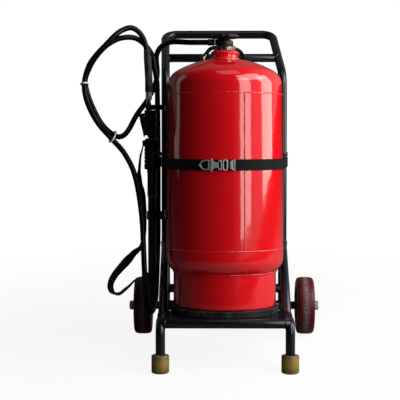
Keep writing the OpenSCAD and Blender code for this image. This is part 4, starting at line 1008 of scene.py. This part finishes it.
class EXTINGUISHER_OT_cylinder(bpy.types.Operator):
    """Build the cylinder: shell with its welded seams, neck, skirt and ribbed boot"""

    bl_idname = "extinguisher.cylinder"
    bl_label = "Cylinder"

    def execute(self, context):
        sizes = context.scene.extinguisher_sizes
        wall = [(shell_r_at(z), z) for z in
                [SHELL_LOW_Z + (SHELL_HIGH_Z - SHELL_LOW_Z) * k / 24 for k in range(1, 24)]]
        outline = (dome(SHELL_LOW_R, SHELL_LOW_Z, -1)[::-1] + wall
                   + dome(SHELL_HIGH_R, SHELL_HIGH_Z, 1))
        made("pressure_shell", revolved(outline, 256), "shell_paint", "tank_shell")
        low, high = SHELL_LOW_Z + SEAM_INSET, SHELL_HIGH_Z - SEAM_INSET
        across, ahead = math.cos(math.radians(SEAM_ANGLE)), math.sin(math.radians(SEAM_ANGLE))
        # Each bead is sunk into the wall by a part of its radius
        long_seam = [Vector((across * (shell_r_at(z) - 1.0), ahead * (shell_r_at(z) - 1.0), z))
                     for z in [low + (high - low) * k / 60 for k in range(61)]]
        weld("shell_seams", [ring_run(shell_r_at(low) - 1.3, low, 240),
                             ring_run(shell_r_at(high) - 1.5, high, 240), long_seam],
             "shell_paint", sizes.seam_radius, pitch=0.0075, depth=0.34, seed=3)
        dressed("neck_collar", "shell_paint", 0.0008)
        # Where the collar's skin meets the crown
        fillet_r = COLLAR_R + 0.1
        fillet_z = CROWN_Z + math.sqrt(CROWN_R**2 - fillet_r**2) - 0.2
        weld("neck_fillet", [ring_run(fillet_r, fillet_z, 90)], "shell_paint", 0.0027,
             pitch=0.004, depth=0.2, seed=5)
        roll = [(r, max(z, 0.3)) for r, z in arc(SKIRT_R - 7, 7, 7, -90, 0, 10)]
        skirt = ([(SKIRT_R - 11, 2.5), (SKIRT_R - 11, 0.3)] + roll
                 + [(SKIRT_R, z) for z in (20, 40, 60, 80, 98)]
                 + [(SKIRT_R - 3, 98), (SKIRT_R - 3, 9), (SKIRT_R - 6, 4), (SKIRT_R - 11, 2.5)])
        made("foot_ring", revolved(skirt, 256), "shell_paint", "tank_skirt")
        # Where the skirt meets the lower dome's knuckle
        reach = SKIRT_R + 0.6 - SHELL_LOW_R + KNUCKLE_R
        touch = SHELL_LOW_Z - math.sqrt(KNUCKLE_R**2 - reach**2)
        weld("skirt_weld", [ring_run(SKIRT_R + 0.2, touch - 1.0, 200)], "shell_paint", 0.0022,
             pitch=0.0042, depth=0.2, seed=7)
        self.boot(sizes)
        return {"FINISHED"}

    def boot(self, sizes):
        r = BOOT_R - sizes.rib_radius * 1000
        outline = [(SKIRT_R - 20, -BOOT_H), (r - 1, -BOOT_H), (r, -BOOT_H + 1), (r, -1.6),
                   (r - 1.6, 0), (SKIRT_R + 1.2, 0), (SKIRT_R + 0.6, -0.1), (SKIRT_R - 20, -0.1)]
        made("rubber_boot", revolved(outline + outline[:1], 200), "rubber", "base_boot")
        ribs = new_piece("boot_ribs", bpy.data.meshes.new("boot_ribs"))
        grown(ribs, rib_tree, {
            "Count": sizes.boot_ribs, "Ring Radius": r / 1000, "Rib Radius": sizes.rib_radius,
            "Height": (BOOT_H - 3) / 1000, "Material": material_of("rubber")})
        ribs.data.transform(STAND @ Matrix.Translation((0, 0, -BOOT_H / 2)) @ Matrix.Scale(1000, 4))
        ribs.data.shade_smooth()
        ribs.data.set_sharp_from_angle(angle=math.radians(60))
        placed(ribs, "trolley", "rubber")


# ---------- valve ----------


class EXTINGUISHER_OT_valve(bpy.types.Operator):
    """Build the valve: ring nut, body, handwheel, hose outlet and the looped shoulder pipe"""

    bl_idname = "extinguisher.valve"
    bl_label = "Valve"

    def execute(self, context):
        dressed("ring_nut", "nickel", 0.0006)
        dressed("valve_body", "black_plastic", 0.0008)
        dressed("valve_spindle", "brass", body="handwheel")
        dressed("outlet_elbow", "brass", 0.0005, finish="black_brass")
        dressed("shoulder_union_left", "brass", 0.0005, finish="nickel")
        dressed("shoulder_union_right", "brass", 0.0005, finish="nickel")
        dressed("dip_tube", "zinc")
        self.handwheel()
        self.shoulder_pipe()
        return {"FINISHED"}

    def handwheel(self):
        """Lobed and domed, with a raised centre cap and a turned line round it."""
        r, t = HANDWHEEL_R, HANDWHEEL_T
        profile = [(11, 0), (13, 3), (r - 9, 4), (r - 6, 3.4), (r - 4, 2), (r - 2, 2.1), (r - 1, 3),
                   (r - 0.2, 4), (r, 5), (r, 6.6), (r - 0.8, 8), (r - 2.2, 9.6), (r - 4, t - 3),
                   (r - 6.4, t - 2), (r - 9, t - 1.2), (r - 15, t - 0.55), (15.2, t - 0.35),
                   (14.6, t - 0.9), (13.8, t - 0.9), (13.2, t - 0.15), (8, t), (0, t)]

        def lobed(radius, z, angle):
            # Eight finger hollows, deepest at the rim and gone at the hub
            phase = (math.degrees(angle) % 45) / 45
            hollow = math.exp(-(((phase if phase < 0.5 else 1 - phase) / 0.2) ** 2))
            reach = max(0.0, min(1.0, (radius - 20) / (r - 20)))
            return radius - 2.2 * hollow * reach**2, z + HANDWHEEL_Z

        made("handwheel_moulding", revolved(profile, 192, lobed, sharp=50), "black_plastic",
             "handwheel", body="handwheel")

    def shoulder_pipe(self):
        def outlet(union, h):
            """A point of a shoulder union's outlet, h along it from its elbow."""
            reach, way, lean = union
            rise = math.asin(reach / CROWN_R)
            a, tilt = math.radians(way), rise - math.radians(lean)
            low, lift = (CROWN_R + 6) * math.sin(rise), (CROWN_R + 6) * math.cos(rise)
            out = low + h * math.sin(tilt)
            return math.cos(a) * out, math.sin(a) * out, CROWN_Z + lift + h * math.cos(tilt)

        route = [outlet(UNION_LEFT, UNION_H + 0.05), outlet(UNION_LEFT, UNION_H + 6),
                 (-38, 6, 648), (-29, 22, 653), (-12, 37, 655), (8, 45, 655.5), (26, 53, 653.5),
                 (38, 64.5, 649), (45, 76, 642), (48, 84.5, 633),
                 outlet(UNION_RIGHT, UNION_H + 4), outlet(UNION_RIGHT, UNION_H + 0.05)]
        made("shoulder_pipe", swept(smooth_path(route, 3), circle(5)), "rubber", "shoulder_loop",
             finish="hose")


# ---------- trolley frame ----------


def on_slope(side, s):
    """A point on the middle line of a handle tube; side is -1 on the left and 1 on the right."""
    a = math.radians(HANDLE_ANGLE)
    return Vector((side * SIDE_X - s * math.tan(SLANT[side]),
                   UPRIGHT_Y + s * math.sin(a), HANDLE_BEND_Z + s * math.cos(a)))


class EXTINGUISHER_OT_frame(bpy.types.Operator):
    """Build the trolley's bent tubes, crossbars, braces, rails and saddles with their welds"""

    bl_idname = "extinguisher.frame"
    bl_label = "Trolley Frame"

    def execute(self, context):
        self.handle()
        for side, name in SIDES:
            x = side * SIDE_X
            corners = [(x, -LEG_Y, SOLE_Z + 10), (x, -LEG_Y, AXLE_Z), (x, UPRIGHT_Y - 4, AXLE_Z)]
            made("leg_tube_" + name, swept(bent_path(corners, LEG_BEND_R), circle(TUBE_R, 40)),
                 "frame_paint", "leg_" + name)
            dressed("brace_" + name, "frame_paint", 0.0002)
        for node in ("handle_crossbar", "front_crossbar", "back_crossbar", "axle_sleeve"):
            dressed(node, "frame_paint", 0.0002)
        for node in ("base_rails", "saddle_upper", "saddle_lower", "strap_stops"):
            dressed(node, "frame_paint", 0.0008)
        self.welds()
        return {"FINISHED"}

    def handle(self):
        """One tube from the left axle end up, back into the handle and down to the right."""
        left, right = [
            bent_path([(side * SIDE_X, UPRIGHT_Y, AXLE_Z + 10),
                       (side * SIDE_X, UPRIGHT_Y, HANDLE_BEND_Z),
                       on_slope(side, HANDLE_REACH - HANDLE_CORNER_R - 6)], UPRIGHT_BEND_R)
            for side, _ in SIDES]
        top = bent_path([left[-1], on_slope(-1, HANDLE_REACH), on_slope(1, HANDLE_REACH),
                         right[-1]], HANDLE_CORNER_R, 3)
        made("push_handle", swept(left[:-1] + top + right[-2::-1], circle(TUBE_R, 40)),
             "frame_paint", "upright_left", "upright_right", "handle_bar")

    def welds(self):
        """Beads where crossbars and braces meet the legs and uprights."""
        cross_y, cross_z = -LEG_Y + 7, -BOOT_H - TUBE_R
        foot, head = Vector((0, BRACE_FOOT_Y, AXLE_Z)), Vector((0, UPRIGHT_Y, BRACE_TOP_Z))
        along = (head - foot).normalized()
        up, runs = (0, 0, 1), []
        for side, _ in SIDES:
            x, inwards = side * SIDE_X, (-side, 0, 0)
            corner = Vector((x, 0, 0))
            runs += [
                tee_run(on_slope(side, 0), on_slope(side, 100) - on_slope(side, 0),
                        on_slope(side, CROSSBAR_REACH), inwards),
                tee_run((x, UPRIGHT_Y, 0), up, (x, UPRIGHT_Y, BACK_BAR_Z), inwards),
                tee_run((x, -LEG_Y, 0), up, (x, cross_y, cross_z), inwards),
                tee_run((x, 0, AXLE_Z), (0, 1, 0), corner + foot, along),
                tee_run((x, UPRIGHT_Y, 0), up, corner + head, -along)]
        weld("frame_welds", runs, "frame_paint", seed=11)


# ---------- wheels and feet ----------


class EXTINGUISHER_OT_wheels(bpy.types.Operator):
    """Build the two wheels with worn solid tyres, the axle, its nuts, and the rubber feet"""

    bl_idname = "extinguisher.wheels"
    bl_label = "Wheels and Feet"

    def execute(self, context):
        for side, name in SIDES:
            self.tyre(side, name)
            self.hub(side, name)
            self.foot(name)
        dressed("axle_rod", "zinc", 0.0008)
        dressed("axle_bushes", "black_plastic", 0.0004)
        dressed("axle_washers", "zinc", 0.0004)
        dressed("axle_nuts", "zinc", 0.0009)
        return {"FINISHED"}

    def axle(self, side):
        quarter = Matrix.Rotation(side * math.pi / 2, 4, "Y")
        return Matrix.Translation((0, UPRIGHT_Y, AXLE_Z)) @ quarter

    def mark(self, mesh, name, values):
        """Gives a mesh a number for each of its points, which its finish reads."""
        mesh.attributes.new(name, "FLOAT", "POINT").data.foreach_set("value", values)

    def tyre(self, side, name):
        mid, half, r = TRACK_W / 2, TYRE_W / 2, WHEEL_R
        inner, outer = [
            [(HUB_R + 0.05, mid + sign * (half - 3)), (HUB_R + 2, mid + sign * (half - 0.8)),
             (HUB_R + 4, mid + sign * half), (HUB_R + 10, mid + sign * half),
             (HUB_R + 11, mid + sign * (half - 0.6)), (HUB_R + 12, mid + sign * half)]
            + [(r - 10 + b, mid + sign * (half - 9 + a)) for a, b in arc(0, 0, 9, 0, 90, 9)]
            for sign in (-1, 1)]
        crown = [(r - 0.35, mid - 11), (r - 0.1, mid - 6), (r, mid), (r - 0.1, mid + 6),
                 (r - 0.35, mid + 11)]
        profile = inner + crown + outer[::-1]
        mesh = revolved(profile + profile[:1], 160, place=self.axle(side), sharp=50)
        made("solid_tyre_" + name, mesh, "tyre_rubber", "tyre_" + name, body="wheel_" + name)
        # The tread is marked most along its middle line, where its finish turns patchy grey and
        # rougher
        centre = stood((side * mid, UPRIGHT_Y, AXLE_Z))
        off = [(vertex.co - centre) * 1000 for vertex in mesh.vertices]
        self.mark(mesh, "tread", [
            max(0.0, min(1.0, (math.hypot(p.y, p.z) - r + 4) / 3)) * max(0.0, 1 - (p.x / 8) ** 2)
            for p in off])

    def hub(self, side, name):
        mid, boss, rim = TRACK_W / 2, 19, TYRE_W / 2 - 6
        inner, outer = [
            [(8.05, end), (boss - 2, end), (boss - 0.6, end - sign * 0.6), (boss, end - sign * 2),
             (boss + 1, mid + sign * 8), (boss + 3, mid + sign * 6.4), (HUB_R - 11, mid + sign * 5),
             (HUB_R - 8, mid + sign * 6), (HUB_R - 6.4, mid + sign * 8),
             (HUB_R - 5, mid + sign * rim), (HUB_R - 4, mid + sign * (rim + 0.6)),
             (HUB_R, mid + sign * rim)]
            for sign, end in ((-1, mid - TYRE_W / 2 - 4), (1, mid + TYRE_W / 2 + 1.5))]
        profile = inner + outer[::-1]
        mesh = revolved(profile + profile[:1], 96, place=self.axle(side), sharp=45)
        made("cast_hub_" + name, mesh, "hub_paint", "wheel_hub_" + name, body="wheel_" + name)

    def foot(self, name):
        mesh = dressed("foot_" + name, "foot_rubber", 0.001, segments=3).data
        top = max(vertex.co.z for vertex in mesh.vertices)
        self.mark(mesh, "height", [vertex.co.z / top for vertex in mesh.vertices])


# ---------- strap and buckle ----------


class EXTINGUISHER_OT_strap(bpy.types.Operator):
    """Build the webbing strap round the cylinder and its plated buckle"""

    bl_idname = "extinguisher.strap"
    bl_label = "Strap and Buckle"

    def execute(self, context):
        gap = 0.3 + STRAP_W / 2 * math.sin(math.radians(STRAP_TILT))
        strap_r = shell_r_at(STRAP_Z - STRAP_W) + gap + STRAP_T / 2
        wrap_r = TUBE_R + gap + STRAP_T / 2
        reach = math.hypot(SIDE_X, UPRIGHT_Y)
        angle = math.degrees(math.atan2(UPRIGHT_Y, SIDE_X) - math.acos((strap_r - wrap_r) / reach))
        right = arc(0, 0, strap_r, -90, angle, 60) + arc(SIDE_X, UPRIGHT_Y, wrap_r, angle, 200, 30)
        left = [(-x, y) for x, y in reversed(right)]
        tilt = Matrix.Rotation(math.radians(STRAP_TILT), 4, "X")
        place = Matrix.Translation((0, 0, STRAP_Z)) @ tilt
        path = [place @ Vector((x, y, 0)) for x, y in left + right[1:]]
        made("tank_webbing", swept(path, webbing_section(STRAP_W, STRAP_T), side=(0, 0, 1)),
             "webbing", "tank_strap")
        for node in ("buckle_loop", "buckle_tongue", "strap_ring", "strap_plate"):
            dressed(node, "zinc", 0.0009, segments=3)
        self.stitches(context.scene.extinguisher_sizes, place, strap_r + STRAP_T / 2 + 0.05)
        return {"FINISHED"}

    def stitches(self, sizes, place, out):
        """Two sewn boxes, where the webbing is doubled behind the buckle's plates."""

        def line(start, end):
            """Points on the strap's outside, from one (degrees, height) to another."""
            run = []
            for k in range(9):
                degrees, height = [a + (b - a) * k / 8 for a, b in zip(start, end)]
                a = math.radians(degrees - 90)
                run.append(place @ Vector((out * math.cos(a), out * math.sin(a), height)))
            return run

        runs = []
        for start, end in ((-34, -27), (10.5, 17)):
            box = [(start, -9), (end, -9), (end, 9), (start, 9), (start, -9)]
            runs += [line(a, b) for a, b in zip(box, box[1:])] + [line((start, -9), (end, 9))]
        piece = new_piece("strap_stitches", lines_mesh(runs))
        grown(piece, stitch_tree, {
            "Stitch Length": sizes.stitch_length, "Thread Radius": 0.0003,
            "Material": material_of("webbing")})
        placed(piece, "trolley", "webbing")


# ---------- gun ----------


class EXTINGUISHER_OT_gun(bpy.types.Operator):
    """Build the discharge gun with its trigger, lance and the two clips that carry it"""

    bl_idname = "extinguisher.gun"
    bl_label = "Discharge Gun"

    def execute(self, context):
        dressed("gun_ferrule", "zinc", 0.0003)
        dressed("gun_inlet", "brass", 0.0003, finish="nickel")
        dressed("gun_collar", "black_plastic", 0.0008)
        dressed("gun_block", "black_plastic", 0.0008)
        dressed("gun_grip", "rubber", 0.0005)
        dressed("gun_trigger", "black_plastic", 0.0012, body="trigger", segments=3)
        dressed("trigger_pin", "zinc")
        dressed("lance_ring", "nickel")
        dressed("lance", "black_plastic", 0.0005)
        dressed("bracket_upper", "black_plastic", 0.0008)
        dressed("bracket_lower", "black_plastic", 0.0008)
        return {"FINISHED"}


# ---------- panel and run ----------

OPERATORS = (
    EXTINGUISHER_OT_stage, EXTINGUISHER_OT_hose, EXTINGUISHER_OT_sling, EXTINGUISHER_OT_cylinder,
    EXTINGUISHER_OT_valve, EXTINGUISHER_OT_frame, EXTINGUISHER_OT_wheels, EXTINGUISHER_OT_strap,
    EXTINGUISHER_OT_gun,
)


class EXTINGUISHER_PT_build(bpy.types.Panel):
    """Lists the pieces in the order in which they are built"""

    bl_idname = "EXTINGUISHER_PT_build"
    bl_label = "Fire Extinguisher"
    bl_space_type = "VIEW_3D"
    bl_region_type = "UI"
    bl_category = "Extinguisher"

    def draw(self, context):
        layout = self.layout
        for operator in OPERATORS:
            layout.operator(operator.bl_idname)
        for group in (context.scene.extinguisher_sizes, context.scene.extinguisher_colours):
            box = layout.box()
            for key in group.bl_rna.properties.keys():
                if key not in ("rna_type", "name"):
                    box.prop(group, key)


CLASSES = (ExtinguisherSizes, ExtinguisherColours, *OPERATORS, EXTINGUISHER_PT_build)


def register():
    for cls in CLASSES:
        bpy.utils.register_class(cls)
    bpy.types.Scene.extinguisher_sizes = bpy.props.PointerProperty(type=ExtinguisherSizes)
    bpy.types.Scene.extinguisher_colours = bpy.props.PointerProperty(type=ExtinguisherColours)


def unregister():
    del bpy.types.Scene.extinguisher_colours
    del bpy.types.Scene.extinguisher_sizes
    for cls in reversed(CLASSES):
        bpy.utils.unregister_class(cls)


def main():
    register()
    bpy.ops.extinguisher.stage()
    bpy.ops.extinguisher.hose()
    bpy.ops.extinguisher.sling()
    bpy.ops.extinguisher.cylinder()
    bpy.ops.extinguisher.valve()
    bpy.ops.extinguisher.frame()
    bpy.ops.extinguisher.wheels()
    bpy.ops.extinguisher.strap()
    bpy.ops.extinguisher.gun()
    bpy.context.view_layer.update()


if __name__ == "__main__":
    main()
